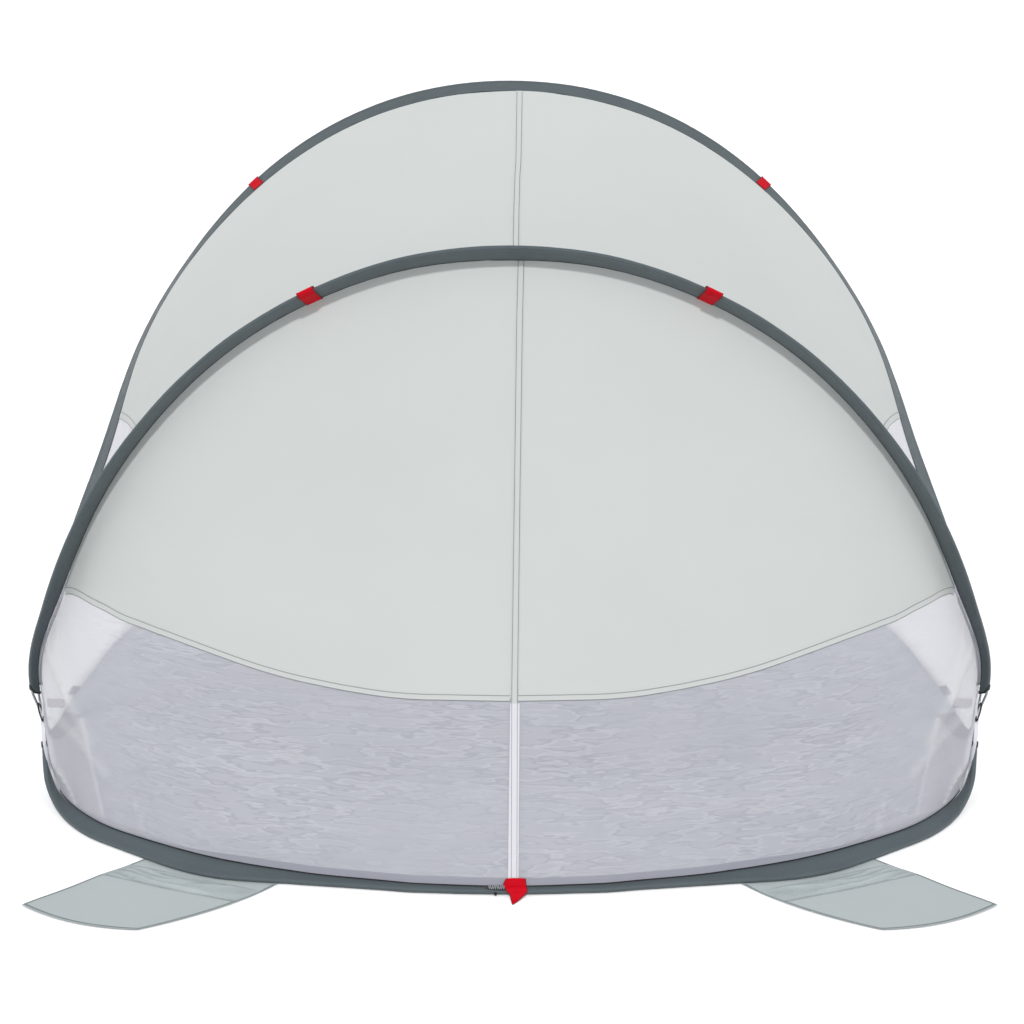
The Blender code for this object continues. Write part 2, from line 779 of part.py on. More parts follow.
flap_along = unit(np.array((-crossing_half_width, crossing_depth * flap_slope_share, 0.0)))
flap_outward = np.cross(flap_along, (0.0, 0.0, -1.0))
flap_centre = np.array((-crossing_half_width * flap_side_share, crossing_depth * flap_depth_share, panel_thickness / 2))


def flap_row(out, steps):
    """Points across a sand flap at a distance from its inner edge."""
    part = out / flap_reach
    width = flap_inner_width + (flap_outer_width - flap_inner_width) * part
    bow = flap_side_bow * 4 * part * (1 - part)
    row = []
    for share in spread(0.0, 1.0, steps):
        along = flap_skew * part + width * (share - 1 / 2) - bow * (1 - share)
        bulge = flap_outer_bow * 4 * share * (1 - share) * part * part
        row.append(flap_centre + flap_along * along + flap_outward * (out + bulge))
    return row


def make_flaps():
    """Sand flaps that hinge along a seam beside the back edge, and their strips under the sleeve."""
    half_gap = flap_hinge_gap / 2
    strip = [flap_row(out, 6) for out in spread(0.0, flap_hinge_out - half_gap, 2)]
    flap = [flap_row(out, 6) for out in spread(flap_hinge_out + half_gap, flap_reach, 6)]
    hinge = flap_centre + flap_outward * flap_hinge_out + flap_along * flap_skew * flap_hinge_out / flap_reach
    hinge[2] = panel_thickness
    for side, turn, pivot in (("left", unchanged, hinge), ("right", mirrored, across(hinge))):
        sheet("flap_strip_" + side, turn(strip), panel_thickness, "flap_fabric")
        sheet("sand_flap_" + side, turn(flap), panel_thickness, "flap_fabric", origin=pivot)


def make_guy_loop(name, arc, share, width):
    """Red webbing folded over a sleeve, with an eye that stands out beyond the rod."""
    grow = sleeve_wall / 2 + guy_loop_gap + webbing_thickness / 2
    centre = arc.run[-1] * arc.end * share
    rows = []
    for place in arc.stations_between(centre - width / 2, centre + width / 2):
        outline = sleeve_outline(arc, place, grow, with_tail=False)
        lower = arc.from_tail(place, fit_gap, -sleeve_tail_across - grow)
        upper = arc.from_tail(place, fit_gap, sleeve_tail_across + grow)
        reach = sleeve_outer_radius + guy_eye_reach
        eye = [
            arc.from_rod(place, reach - guy_eye_round, -guy_eye_round),
            arc.from_rod(place, reach, 0.0),
            arc.from_rod(place, reach - guy_eye_round, guy_eye_round),
        ]
        rows.append([lower, outline[0]] + eye + [outline[-1], upper])
    sheet(name + "_left", rows, webbing_thickness, "red_webbing")
    sheet(name + "_right", mirrored(rows), webbing_thickness, "red_webbing")


def make_peg_loops():
    """Webbing loops for pegs at the sides of the floor."""
    start = sleeve_outer_radius + fit_gap + webbing_thickness / 2
    end = start + peg_loop_reach
    half = peg_loop_height / 2
    outline = ((start, -half), (end - half, -half), (end, 0.0), (end - half, half), (start, half))
    middle = front.run[-1] * front.end * peg_loop_share
    rows = []
    for place in front.stations_between(middle - webbing_width / 2, middle + webbing_width / 2):
        rows.append([front.from_rod(place, out, side) for out, side in outline])
    sheet("front_peg_loop_left", rows, webbing_thickness, "sleeve_fabric", wrap=True)
    sheet("front_peg_loop_right", mirrored(rows), webbing_thickness, "sleeve_fabric", wrap=True)


def make_peg_tab():
    """Red webbing at the middle of the back edge: a strap over the sleeve and a hinged pointed tab."""
    grow = sleeve_wall / 2 + fit_gap + webbing_thickness / 2
    part = peg_strap_cover / sleeve_depth
    strap = []
    for x in (peg_tab_offset - webbing_width / 2, peg_tab_offset + webbing_width / 2):
        place = back.station_after(abs(x))
        flat = back.from_rod(place, -peg_strap_cover)
        flat[2] += sleeve_outer_radius * (1 - part) + sleeve_tail_thickness / 2 * part + fit_gap + webbing_thickness
        points = sleeve_outline(back, place, grow, with_tail=False)[2:] + [flat]
        strap.append([np.array((x, point[1], point[2])) for point in points])
    sheet("peg_tab_strap", strap, webbing_thickness, "red_webbing")

    start = strap[0][0][1] - webbing_thickness / 2 - peg_tab_hinge_gap
    pivot = np.array((peg_tab_offset, start + peg_tab_hinge_gap / 2, back_lift + webbing_thickness / 2))
    rest = webbing_thickness / 2
    half = webbing_width / 2
    shoulder = start - peg_tab_reach + peg_tab_point
    slope = (back_lift - rest) / (start - shoulder)
    rows = []
    for x, end in ((-half, shoulder), (peg_tab_tip_offset, start - peg_tab_reach), (half, shoulder)):
        line = [(y, max(rest, back_lift - (start - y) * slope)) for y in spread(start, end, 3)]
        rows.append([np.array((x + peg_tab_offset, y, z)) for y, z in line])
    sheet("peg_tab", rows, webbing_thickness, "red_webbing", origin=pivot)


def make_crossing_ties():
    """Elastic rings that hold the two rods together at each crossing."""
    half = rod_diameter + fit_gap / 2 + fit_gap + elastic_diameter / 2
    points = []
    for k in range(elastic_sides):
        turn = 2 * math.pi * (k + 0.5) / elastic_sides
        middle = (elastic_up - half) if math.sin(turn) > 0 else (half - elastic_down)
        x = -crossing_half_width + half * math.cos(turn)
        points.append(np.array((x, crossing_depth, crossing_height + middle + half * math.sin(turn))))
    wire("crossing_tie_left", points, elastic_diameter, "black_binding", 1)
    wire("crossing_tie_right", [across(point) for point in points], elastic_diameter, "black_binding", 1)


def make_patches():
    """Small patches on the back panel beside the crossings."""
    stops, upper, lower = zip(*patch_end_shares)
    length = low.run[-1] * low.end
    rows = []
    for place in low.stations_between(stops[0] * length, stops[1] * length):
        share = np.interp(place, range(half_stations + 1), low.shares)
        top = np.interp(share, stops, upper)
        bottom = np.interp(share, stops, lower)
        rows.append([raised(back_point, place, down, tape_offset + patch_lift) for down in spread(top, bottom, 2)])
    sheet("tie_patch_left", rows, tape_thickness, "floor_fabric")
    sheet("tie_patch_right", mirrored(rows), tape_thickness, "floor_fabric")


def centre_on_origin():
    """Move every piece so that the origin is on the ground under the middle of the tent."""
    bpy.context.view_layer.update()
    graph = bpy.context.evaluated_depsgraph_get()
    depths = []
    heights = []
    for thing in part_collection.objects:
        solid = thing.evaluated_get(graph)
        for vertex in solid.to_mesh().vertices:
            place = thing.matrix_world @ vertex.co
            depths.append(place.y)
            heights.append(place.z)
        solid.to_mesh_clear()
    for thing in part_collection.objects:
        thing.location.y -= (min(depths) + max(depths)) / 2
        thing.location.z -= min(heights)


def build():
    """Make every piece of the tent."""
    start_scene()
    make_materials()
    for name, arc in (("low_arch", low), ("tall_arch", tall), ("back_edge", back), ("front_edge", front)):
        make_sleeve(name + "_sleeve", arc)
        make_end_bindings(name + "_binding", arc)
    wire("tall_loop_rod", rod_points(back, tall, 1), rod_diameter, "sprung_steel", 1)
    wire("low_loop_rod", rod_points(front, low, -1), rod_diameter, "sprung_steel", 1)
    make_ferrule("tall_loop_ferrule", back)
    make_ferrule("low_loop_ferrule", front)
    for side, tape_edge, turn in (("left", centre_tape_left, unchanged), ("right", centre_tape_right, mirrored)):
        make_back_half(side, tape_edge, turn)
        make_roof_half(side, tape_edge, turn)
    make_centre_tapes()
    make_floor()
    make_gussets()
    make_flaps()
    make_guy_loop("low_guy_loop", low, low_guy_share, webbing_width)
    make_guy_loop("tall_guy_loop", tall, tall_guy_share, tall_guy_width)
    make_peg_loops()
    make_peg_tab()
    make_crossing_ties()
    make_patches()
    centre_on_origin()


build()
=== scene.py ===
"""Looks of the pop-up beach tent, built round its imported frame."""

import math

import bpy
import numpy as np
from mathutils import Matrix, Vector, noise


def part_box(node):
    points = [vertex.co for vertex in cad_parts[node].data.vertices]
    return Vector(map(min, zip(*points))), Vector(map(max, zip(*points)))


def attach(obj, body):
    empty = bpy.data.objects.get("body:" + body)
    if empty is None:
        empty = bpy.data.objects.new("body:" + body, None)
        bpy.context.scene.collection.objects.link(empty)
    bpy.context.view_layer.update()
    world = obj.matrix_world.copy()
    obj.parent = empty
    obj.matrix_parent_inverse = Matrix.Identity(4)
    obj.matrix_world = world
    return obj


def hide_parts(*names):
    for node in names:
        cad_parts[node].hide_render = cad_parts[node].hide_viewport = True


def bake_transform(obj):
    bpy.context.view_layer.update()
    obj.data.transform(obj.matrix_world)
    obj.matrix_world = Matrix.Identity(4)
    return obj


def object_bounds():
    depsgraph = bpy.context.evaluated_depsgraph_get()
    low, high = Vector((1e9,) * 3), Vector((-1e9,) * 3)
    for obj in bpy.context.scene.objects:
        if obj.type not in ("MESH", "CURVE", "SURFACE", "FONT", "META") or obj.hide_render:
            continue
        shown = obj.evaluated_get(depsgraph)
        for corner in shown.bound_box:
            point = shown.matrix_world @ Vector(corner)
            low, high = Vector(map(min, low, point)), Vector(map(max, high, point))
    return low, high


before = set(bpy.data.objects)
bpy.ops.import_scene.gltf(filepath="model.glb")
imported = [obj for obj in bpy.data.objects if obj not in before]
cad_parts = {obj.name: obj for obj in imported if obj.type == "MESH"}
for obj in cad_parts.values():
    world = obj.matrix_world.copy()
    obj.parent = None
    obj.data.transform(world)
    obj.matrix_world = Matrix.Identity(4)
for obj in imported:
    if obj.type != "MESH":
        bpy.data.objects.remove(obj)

cad_low, cad_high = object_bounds()

# Driving dimensions of the frame, the same as in the solids
crossing_half_width = 0.952
crossing_depth = 0.435
crossing_height = 0.147
low_arch_depth = 0.335
low_arch_height = 1.127
tall_arch_depth = 1.120
tall_arch_height = 1.251
front_edge_depth = 1.340
arch_bow = 0.070
fit_gap = 0.0003
seam_gap = 0.0010
join_offset = 0.0009
rod_radius = 0.0025
sleeve_radius = 0.0035
sleeve_outer_radius = 0.0045
sleeve_depth = 0.046
arch_rod_out = 0.020
arch_end_rod_out = 0.004
taper_start_share = 0.74
turn_start_share = 0.70
turn_end_share = 0.88
binding_width = 0.007
panel_thickness = 0.0010
mesh_overlap = 0.018
panel_sag = 0.008
roof_sag = 0.020
floor_rise_run = 0.026
floor_rise_fade = 0.7
webbing_width = 0.030
back_lift = panel_thickness + fit_gap + sleeve_outer_radius
front_lift = sleeve_outer_radius
crossing_offset = rod_radius + fit_gap / 2
back_seam_end_share = 0.812
station_power = 1.45
low_arch_shares = (
    (0.0, 1.0), (0.188, 0.983), (0.340, 0.937), (0.533, 0.833),
    (0.695, 0.686), (0.839, 0.483), (0.937, 0.272), (0.991, 0.115),
)
tall_arch_shares = (
    (0.0, 1.0), (0.309, 0.953), (0.531, 0.847), (0.707, 0.697), (0.818, 0.545),
    (0.878, 0.399), (0.942, 0.257), (0.985, 0.155), (1.007, 0.070),
)
back_edge_shares = (
    (0.0, -0.036, 0.0), (0.248, 0.001, 0.0), (0.494, 0.040, 0.0), (0.640, 0.120, 0.0), (0.771, 0.283, 0.0),
    (0.855, 0.401, 0.0), (0.915, 0.535, 0.02), (0.947, 0.640, 0.08), (0.970, 0.735, 0.22), (0.985, 0.830, 0.50),
)
front_edge_shares = (
    (0.0, 1.0, 0.0), (0.360, 0.985, 0.0), (0.620, 0.925, 0.0), (0.800, 0.820, 0.0), (0.917, 0.672, 0.0),
    (0.965, 0.478, 0.0), (0.988, 0.340, 0.0), (1.003, 0.220, 0.0), (1.007, 0.145, 0.08),
    (1.006, 0.090, 0.26), (1.003, 0.045, 0.60),
)
low_lean_shares = (
    (0.0, (0.0, -0.70, 0.71)), (0.35, (-0.20, -0.82, 0.53)), (0.6, (-0.4, -0.85, 0.25)),
    (0.8, (-0.5, -0.85, 0.12)), (0.93, (-0.5, -0.87, 0.0)), (1.0, (-0.6, -0.8, 0.0)),
)
back_lean_shares = (
    (0.0, (0.0, -1.0, 0.0)), (0.3, (0.0, -1.0, 0.0)), (0.42, (-0.15, -0.93, -0.25)),
    (0.55, (-0.3, -0.82, -0.4)), (0.75, (-0.6, -0.65, -0.35)), (0.82, (-0.4, -0.85, -0.05)),
    (0.88, (-0.2, -0.92, 0.2)), (1.0, (0.0, -0.95, 0.35)),
)
front_lean_shares = (
    (0.0, (0.0, 1.0, 0.0)), (0.4, (-0.3, 0.95, 0.0)), (0.6, (-0.8, 0.5, 0.0)), (0.85, (-0.9, 0.3, 0.0)),
    (0.90, (-0.9, 0.2, 0.2)), (0.925, (-0.7, 0.4, 0.45)), (0.96, (-0.3, 0.6, 0.6)), (1.0, (-0.05, 0.8, 0.6)),
)

# Sizes of the scene's own, closer to the photograph than the solids or finer
sleeve_end_depth = 0.018
sleeve_tail_half = 0.0012
bare_rods = {"low": 0.042, "tall": 0.044, "back": 0.068, "front": 0.052}
roof_seam_low_share = 0.5543
roof_seam_tall_share = 0.6662
back_seam_shares = (
    (0.0, 0.6948), (0.0757, 0.6930), (0.1367, 0.6896), (0.1977, 0.6803), (0.2586, 0.6627),
    (0.3203, 0.6382), (0.3675, 0.6150), (0.4157, 0.5838), (0.4659, 0.5445), (0.5196, 0.4970),
    (0.5788, 0.4366), (0.6447, 0.3543), (0.7203, 0.2156), (0.7802, 0.0728), (0.8108, 0.0),
)
net_overlaps = (
    (0.0, 0.0365), (0.1, 0.0350), (0.2, 0.0320), (0.3, 0.0275), (0.36, 0.0235), (0.42, 0.0165),
    (0.48, 0.0110), (0.54, 0.0095), (0.60, 0.0120), (0.66, 0.0165), (0.72, 0.0175), (0.76, 0.0155),
    (0.80, 0.0120), (0.84, 0.0080), (0.88, 0.0040), (0.92, 0.0),
)
patch_end_shares = ((0.846, 0.452, 0.488), (0.924, 0.370, 0.427))
tall_lean_shares = (
    (0.0, (0.0, 0.98, 0.17)), (0.1, (-0.11, 0.98, 0.18)), (0.2, (-0.22, 0.97, 0.11)), (0.3, (-0.30, 0.95, 0.01)),
    (0.4, (-0.29, 0.94, -0.18)), (0.46, (-0.24, 0.93, -0.29)), (0.52, (-0.27, 0.90, -0.33)),
    (0.58, (-0.32, 0.87, -0.37)), (0.64, (-0.43, 0.82, -0.38)), (0.7, (-0.53, 0.78, -0.34)),
    (0.82, (-0.58, 0.74, -0.33)), (1.0, (-0.65, 0.68, -0.34)),
)
ground_bends = (
    (0.0, -0.0035), (0.11, -0.006), (0.185, -0.009), (0.27, -0.004), (0.34, 0.0), (0.42, 0.004), (0.55, 0.0),
)
back_swing = 0.0065
low_swing = 0.0040
half_stations = 96
coarse = half_stations / 24

# Thickness of each kind of sheet as the scene shows it
cloth_thickness = 0.0005
net_thickness = 0.0004
heavy_thickness = 0.0006
binding_thickness = 0.0008
webbing_thickness = 0.0011
tab_thickness = 0.0012

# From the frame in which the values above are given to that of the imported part
tie_low, tie_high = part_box("crossing_tie_left")
ground_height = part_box("sand_flap_left")[0].z
frame_shift = np.array((0.0, (tie_low.y + tie_high.y) / 2 - crossing_depth, ground_height))


def unit(vector):
    """The vector at a length of one."""
    return vector / np.linalg.norm(vector)


def across(points):
    """The same points on the other side of the tent."""
    return np.asarray(points) * np.array((-1.0, 1.0, 1.0))


turns = (("left", np.asarray), ("right", across))


def smooth(value, start, end):
    """Nought before start, one after end and an even curve between."""
    part = np.clip((value - start) / (end - start), 0.0, 1.0)
    return part * part * (3 - 2 * part)


def read_off(table, stop, column=1):
    """The value of a table's column at a stop, in a straight line between its rows."""
    return np.interp(stop, [row[0] for row in table], [row[column] for row in table])


def run_along(path):
    """The distance from a path's start to each of its points."""
    return np.concatenate([[0], np.cumsum(np.linalg.norm(np.diff(path, axis=0), axis=1))])

def periodic_spline(points, steps):
    """Points along the closed cubic curve through the given points."""
    places = np.asarray(points, float)
    count = len(places)
    spans = np.linalg.norm(np.roll(places, -1, 0) - places, axis=1)
    matrix = np.zeros((count, count))
    rates = np.zeros((count, 3))
    for i in range(count):
        after = (i + 1) % count
        matrix[i, i - 1] = spans[i - 1]
        matrix[i, i] = 2 * (spans[i - 1] + spans[i])
        matrix[i, after] = spans[i]
        rates[i] = 6 * ((places[after] - places[i]) / spans[i] - (places[i] - places[i - 1]) / spans[i - 1])
    bends = np.linalg.solve(matrix, rates)
    curve = []
    for i in range(count):
        after = (i + 1) % count
        span = spans[i]
        for k in range(steps):
            done = span * k / steps
            left = span - done
            cubic = (bends[i] * left ** 3 + bends[after] * done ** 3) / (6 * span)
            near = (places[i] / span - bends[i] * span / 6) * left
            curve.append(cubic + near + (places[after] / span - bends[after] * span / 6) * done)
    return np.array(curve)


def arch_points(shares, depth, height, bow):
    """Points of an arch's left half, from its crown toward the crossing."""
    points = []
    for side, rise in shares:
        y = crossing_depth + (depth - crossing_depth) * rise + bow * 4 * rise * (1 - rise)
        z = crossing_height + (height - crossing_height) * rise
        points.append((-crossing_half_width * side, y, z))
    return points


def edge_points(shares, start, end, lift):
    """Points of a floor edge's left half, from the middle toward the crossing."""
    points = []
    for side, along, rise in shares:
        height = lift + (crossing_height - lift) * rise
        points.append((-crossing_half_width * side, start + (end - start) * along, height))
    return points


def split_loop(edge, arch):
    """The left half of a closed loop, as its floor edge and its arch, each ending at the crossing."""
    left = edge + [(-crossing_half_width, crossing_depth, crossing_height)] + arch[::-1]
    right = [(-x, y, z) for x, y, z in left[1:-1]][::-1]
    curve = periodic_spline(left + right, 24)
    half = curve[:24 * (len(left) - 1) + 1]
    corner = 24 * len(edge)
    return half[:corner + 1], half[corner:][::-1]


class Arc:
    """One quarter of the frame, from the middle plane to the left crossing, with its sleeve."""

    def __init__(self, line, leans, bare_rod, rod_out, end_rod_out, least_height):
        self.line = line
        self.run = run_along(line)
        self.end = 1 - bare_rod / self.run[-1]
        self.length = self.run[-1] * self.end
        self.leans = leans
        self.shares = 1 - (1 - np.linspace(0, 1, half_stations + 1)) ** station_power
        self.frames = []
        for share in self.shares:
            taper = 1 - smooth(share, taper_start_share, 1.0)
            rod = end_rod_out + (rod_out - end_rod_out) * taper
            depth = sleeve_end_depth + (sleeve_depth - sleeve_end_depth) * taper
            centre, lean, side = self.frame(share, least_height)
            self.frames.append((centre, lean, side, rod, rod - depth))

    def at(self, share):
        """The point at a share of the whole line."""
        place = min(max(share, 0.0), 1.0) * self.run[-1]
        return np.array([np.interp(place, self.run, self.line[:, axis]) for axis in range(3)])

    def frame(self, share, least_height):
        """The rod's centre, the way the sleeve leans out and the way across it."""
        stops = [stop for stop, way in self.leans]
        ways = np.array([way for stop, way in self.leans])
        window = np.clip(share + np.linspace(-0.04, 0.04, 9) * min(1.0, share * 10), 0, 1)
        lean = np.array([np.interp(window, stops, ways[:, axis]).mean() for axis in range(3)])
        place = share * self.end
        along = unit(self.at(place + 0.005) - self.at(place - 0.005))
        if share == 0:
            along = np.array([-1.0, 0.0, 0.0])
        lean = unit(lean - lean.dot(along) * along)
        centre = self.at(place)
        centre[2] = max(centre[2], least_height)
        return centre, lean, np.cross(along, lean)

    def beside(self, place, measure, out, side):
        """A point beside the sleeve's rod or tail at a station, which may lie between two."""
        i = min(int(place), half_stations - 1)
        part = place - i
        ends = [f[0] + f[1] * (f[measure] + out) + f[2] * side for f in self.frames[i:i + 2]]
        return ends[0] * (1 - part) + ends[1] * part

    def from_rod(self, place, out=0.0, side=0.0):
        return self.beside(place, 3, out, side)

    def from_tail(self, place, out=0.0, side=0.0):
        return self.beside(place, 4, out, side)

    def depth(self, place):
        """The sleeve's depth at a station."""
        return np.interp(place, range(half_stations + 1), [f[3] - f[4] for f in self.frames])

    def station_at(self, share):
        return float(np.interp(share, self.shares, range(half_stations + 1)))

    def station_after(self, distance):
        return self.station_at(distance / self.length)

    def share_at(self, place):
        """The share of the sleeve's length at a station."""
        return np.interp(place, range(half_stations + 1), self.shares)

    def late(self, place):
        """Nought on most of the sleeve, rising to one where it turns toward the crossing."""
        return smooth(self.share_at(place), turn_start_share, turn_end_share)


low_points = arch_points(low_arch_shares, low_arch_depth, low_arch_height, -arch_bow)
tall_points = arch_points(tall_arch_shares, tall_arch_depth, tall_arch_height, arch_bow)
back_points = edge_points(back_edge_shares, 0.0, crossing_depth, back_lift)
front_points = edge_points(front_edge_shares, crossing_depth, front_edge_depth, front_lift)
back_line, tall_line = split_loop(back_points, tall_points)
front_line, low_line = split_loop(front_points, low_points)
back_line[:, 1] += read_off(ground_bends, np.abs(back_line[:, 0]))
heights = back_line[:, 2]
back_line[:, 0] += back_swing * smooth(heights, 0.01, 0.09) * (1 - smooth(heights, 0.11, crossing_height))
drops = -low_line[:, 2]
low_line[:, 0] -= low_swing * smooth(drops, -0.42, -0.20) * (1 - smooth(drops, -0.175, -crossing_height))
low = Arc(low_line, low_lean_shares, bare_rods["low"], arch_rod_out, arch_end_rod_out, 0.0)
tall = Arc(tall_line, tall_lean_shares, bare_rods["tall"], arch_rod_out, arch_end_rod_out, 0.0)
back = Arc(back_line, back_lean_shares, bare_rods["back"], 0.0, 0.0, back_lift)
front = Arc(front_line, front_lean_shares, bare_rods["front"], 0.0, 0.0, front_lift)
inside_point = np.array((0.0, (crossing_depth + tall_arch_depth) / 2, crossing_height))
past_rod = sleeve_outer_radius + fit_gap + panel_thickness / 2
past_tail = sleeve_tail_half + (sleeve_outer_radius - sleeve_tail_half) * mesh_overlap / sleeve_depth
mesh_rise = past_tail + panel_thickness + 3 * fit_gap
panel_stop = binding_width + 3 * seam_gap
panel_end = min(arc.station_at(1 - panel_stop / arc.length) for arc in (low, tall, back, front))


def low_back_edge(place):
    """Top edge of the back panel, on the low arch's sleeve."""
    return low.from_tail(place, -seam_gap, -join_offset - (past_rod - join_offset) * low.late(place))


def low_roof_edge(place):
    """Near edge of the roof panel, on the low arch's sleeve."""
    return low.from_tail(place, -seam_gap, join_offset)


def tall_edge(place):
    """Far edge of the roof panel, on the tall arch's sleeve."""
    return tall.from_tail(place, -seam_gap)


def back_mesh_edge(place):
    """Lower edge of the back panel's net, over the back edge's sleeve."""
    reached = back.share_at(place) + np.linspace(-0.03, 0.03, 7)
    overlap = read_off(net_overlaps, np.abs(reached)).mean()
    return back.from_tail(place, overlap, mesh_rise + (past_rod - mesh_rise) * back.late(place))


def back_floor_edge(place):
    """The floor's edge on the back edge's sleeve."""
    return back.from_tail(place, -seam_gap, -join_offset)


def panel_points(top, bottom, sag, place, shares):
    """Points between two edges at one station, hollowed a little in the middle of the panel."""
    start = top(place)
    end = bottom(place)
    shares = np.asarray(shares)[:, None]
    points = start + (end - start) * shares
    inward = inside_point - points
    inward /= np.linalg.norm(inward, axis=1)[:, None]
    return points + inward * sag * 4 * shares * (1 - shares) * (1 - (place / half_stations) ** 3)


def back_points_at(place, shares):
    """Points of the back panel at one station, from top to bottom."""
    return panel_points(low_back_edge, back_mesh_edge, panel_sag, place, shares)


def roof_points_at(place, shares):
    """Points of the roof panel at one station, from the low arch to the tall arch."""
    return panel_points(low_roof_edge, tall_edge, roof_sag, place, shares)


def drop_length(place):
    """Height of the back panel at one station, along the cloth."""
    return np.linalg.norm(low_back_edge(place) - back_mesh_edge(place))


seam_end_place = low.station_at(back_seam_end_share)


def seam_share(place):
    """The share of the back panel's height at which its fabric ends and its mesh begins."""
    reached = low.share_at(place) + np.linspace(-0.02, 0.02, 7)
    return read_off(back_seam_shares, np.abs(reached)).mean()


def roof_seam_place(share):
    """The station at which the roof's fabric ends and its net begins."""
    start = low.station_at(roof_seam_low_share)
    return start + (low.station_at(roof_seam_tall_share) - start) * share


def raised(surface, place, share, offset):
    """A point at a distance outside a panel."""
    step = 0.02
    before = max(place - step * coarse, 0.0)
    after = min(place + step * coarse, half_stations)
    along = surface(after, [share])[0] - surface(before, [share])[0]
    ends = surface(place, [max(share - step, 0.0), min(share + step, 1.0), share])
    normal = unit(np.cross(along, ends[1] - ends[0]))
    if normal.dot(ends[2] - inside_point) < 0:
        normal = -normal
    return ends[2] + normal * offset


def wave(points, scale, seed=0.0):
    """Smooth noise from -1 to 1 at points stretched by a scale along each axis."""
    size = np.array(scale, float)
    flat = np.asarray(points).reshape(-1, 3) * size + seed
    values = np.array([noise.noise(Vector(p)) for p in flat])
    return values.reshape(np.asarray(points).shape[:-1])


def grid_normals(grid, wrap):
    """Unit normals of a grid of points."""
    down = np.gradient(grid, axis=0)
    if wrap:
        along = (np.roll(grid, -1, 1) - np.roll(grid, 1, 1)) / 2
    else:
        along = np.gradient(grid, axis=1)
    normals = np.cross(down, along)
    return normals / (np.linalg.norm(normals, axis=2)[:, :, None] + 1e-12)


def outward_normals(grid):
    """Normals of a panel, pointing out of the tent."""
    normals = grid_normals(grid, False)
    signs = np.sign(((grid - inside_point) * normals).sum(2))
    return normals * np.where(signs.sum() < 0, -1.0, 1.0)


made_materials = {}


def finish_piece(name, vertices, faces, look, uvs):
    """A shaded mesh object at its place in the row frame."""
    mesh = bpy.data.meshes.new(name)
    mesh.from_pydata((np.asarray(vertices) + frame_shift).tolist(), [], faces)
    mesh.update()
    layer = mesh.uv_layers.new(name="UVMap")
    loops = np.empty(len(mesh.loops), np.int32)
    mesh.loops.foreach_get("vertex_index", loops)
    layer.data.foreach_set("uv", np.asarray(uvs, np.float32)[loops].ravel())
    mesh.shade_smooth()
    mesh.set_sharp_from_angle(angle=math.radians(50))
    thing = bpy.data.objects.new(name, mesh)
    bpy.context.scene.collection.objects.link(thing)
    thing.data.materials.append(made_materials[look])
    return thing


def fixed(thing, *nodes):
    """Ties a piece to the standing tent and hides the solids that it replaces, if any."""
    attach(thing, "tent")
    if nodes:
        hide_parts(*nodes)
    return thing


def lengths(grid):
    """Distances in metres along both ways of a grid, for the weave."""
    steps_along = np.linalg.norm(np.diff(grid, axis=1), axis=2)
    steps_down = np.linalg.norm(np.diff(grid, axis=0), axis=2)
    u = np.pad(np.cumsum(steps_along, 1), ((0, 0), (1, 0)))
    v = np.pad(np.cumsum(steps_down, 0), ((1, 0), (0, 0)))
    return np.stack([np.broadcast_to(u[len(grid) // 2], u.shape), v], 2)


def sheet(name, grid, thickness, look, wrap=False, uvs=None):
    """A closed sheet of even thickness through a grid of points."""
    grid = np.asarray(grid, float)
    rows, columns = grid.shape[:2]
    normals = grid_normals(grid, wrap) * thickness / 2
    vertices = np.concatenate([(grid + normals).reshape(-1, 3), (grid - normals).reshape(-1, 3)])
    half = rows * columns
    faces = []
    last = columns if wrap else columns - 1
    for i in range(rows - 1):
        for j in range(last):
            k = (j + 1) % columns
            a, b, c, d = i * columns + j, (i + 1) * columns + j, (i + 1) * columns + k, i * columns + k
            faces.append((a, b, c, d))
            faces.append((half + a, half + d, half + c, half + b))
    for j in range(last):
        k = (j + 1) % columns
        faces.append((j, k, half + k, half + j))
        a = (rows - 1) * columns
        faces.append((a + k, a + j, half + a + j, half + a + k))
    if not wrap:
        for i in range(rows - 1):
            a, b = i * columns, (i + 1) * columns
            faces.append((b, a, half + a, half + b))
            a, b = a + columns - 1, b + columns - 1
            faces.append((a, b, half + b, half + a))
    if uvs is None:
        uvs = lengths(grid)
    flat = uvs.reshape(-1, 2)
    return finish_piece(name, vertices, faces, look, np.concatenate([flat, flat]))


def tube_rings(path, radius, sides, closed=False):
    """Rings of points round a path, without twist."""
    path = np.asarray(path, float)
    if closed:
        along = np.roll(path, -1, 0) - np.roll(path, 1, 0)
    else:
        along = np.gradient(path, axis=0)
    along /= np.linalg.norm(along, axis=1)[:, None] + 1e-12
    start = np.array((0.0, 0.0, 1.0)) if abs(along[0][2]) < 0.9 else np.array((0.0, 1.0, 0.0))
    rings = []
    first = unit(start - start.dot(along[0]) * along[0])
    radii = np.broadcast_to(np.asarray(radius, float), (len(path),))
    for point, way, size in zip(path, along, radii):
        first = unit(first - first.dot(way) * way)
        second = np.cross(way, first)
        turns = 2 * np.pi * np.arange(sides) / sides
        rings.append(point + size * (np.cos(turns)[:, None] * first + np.sin(turns)[:, None] * second))
    return np.array(rings)


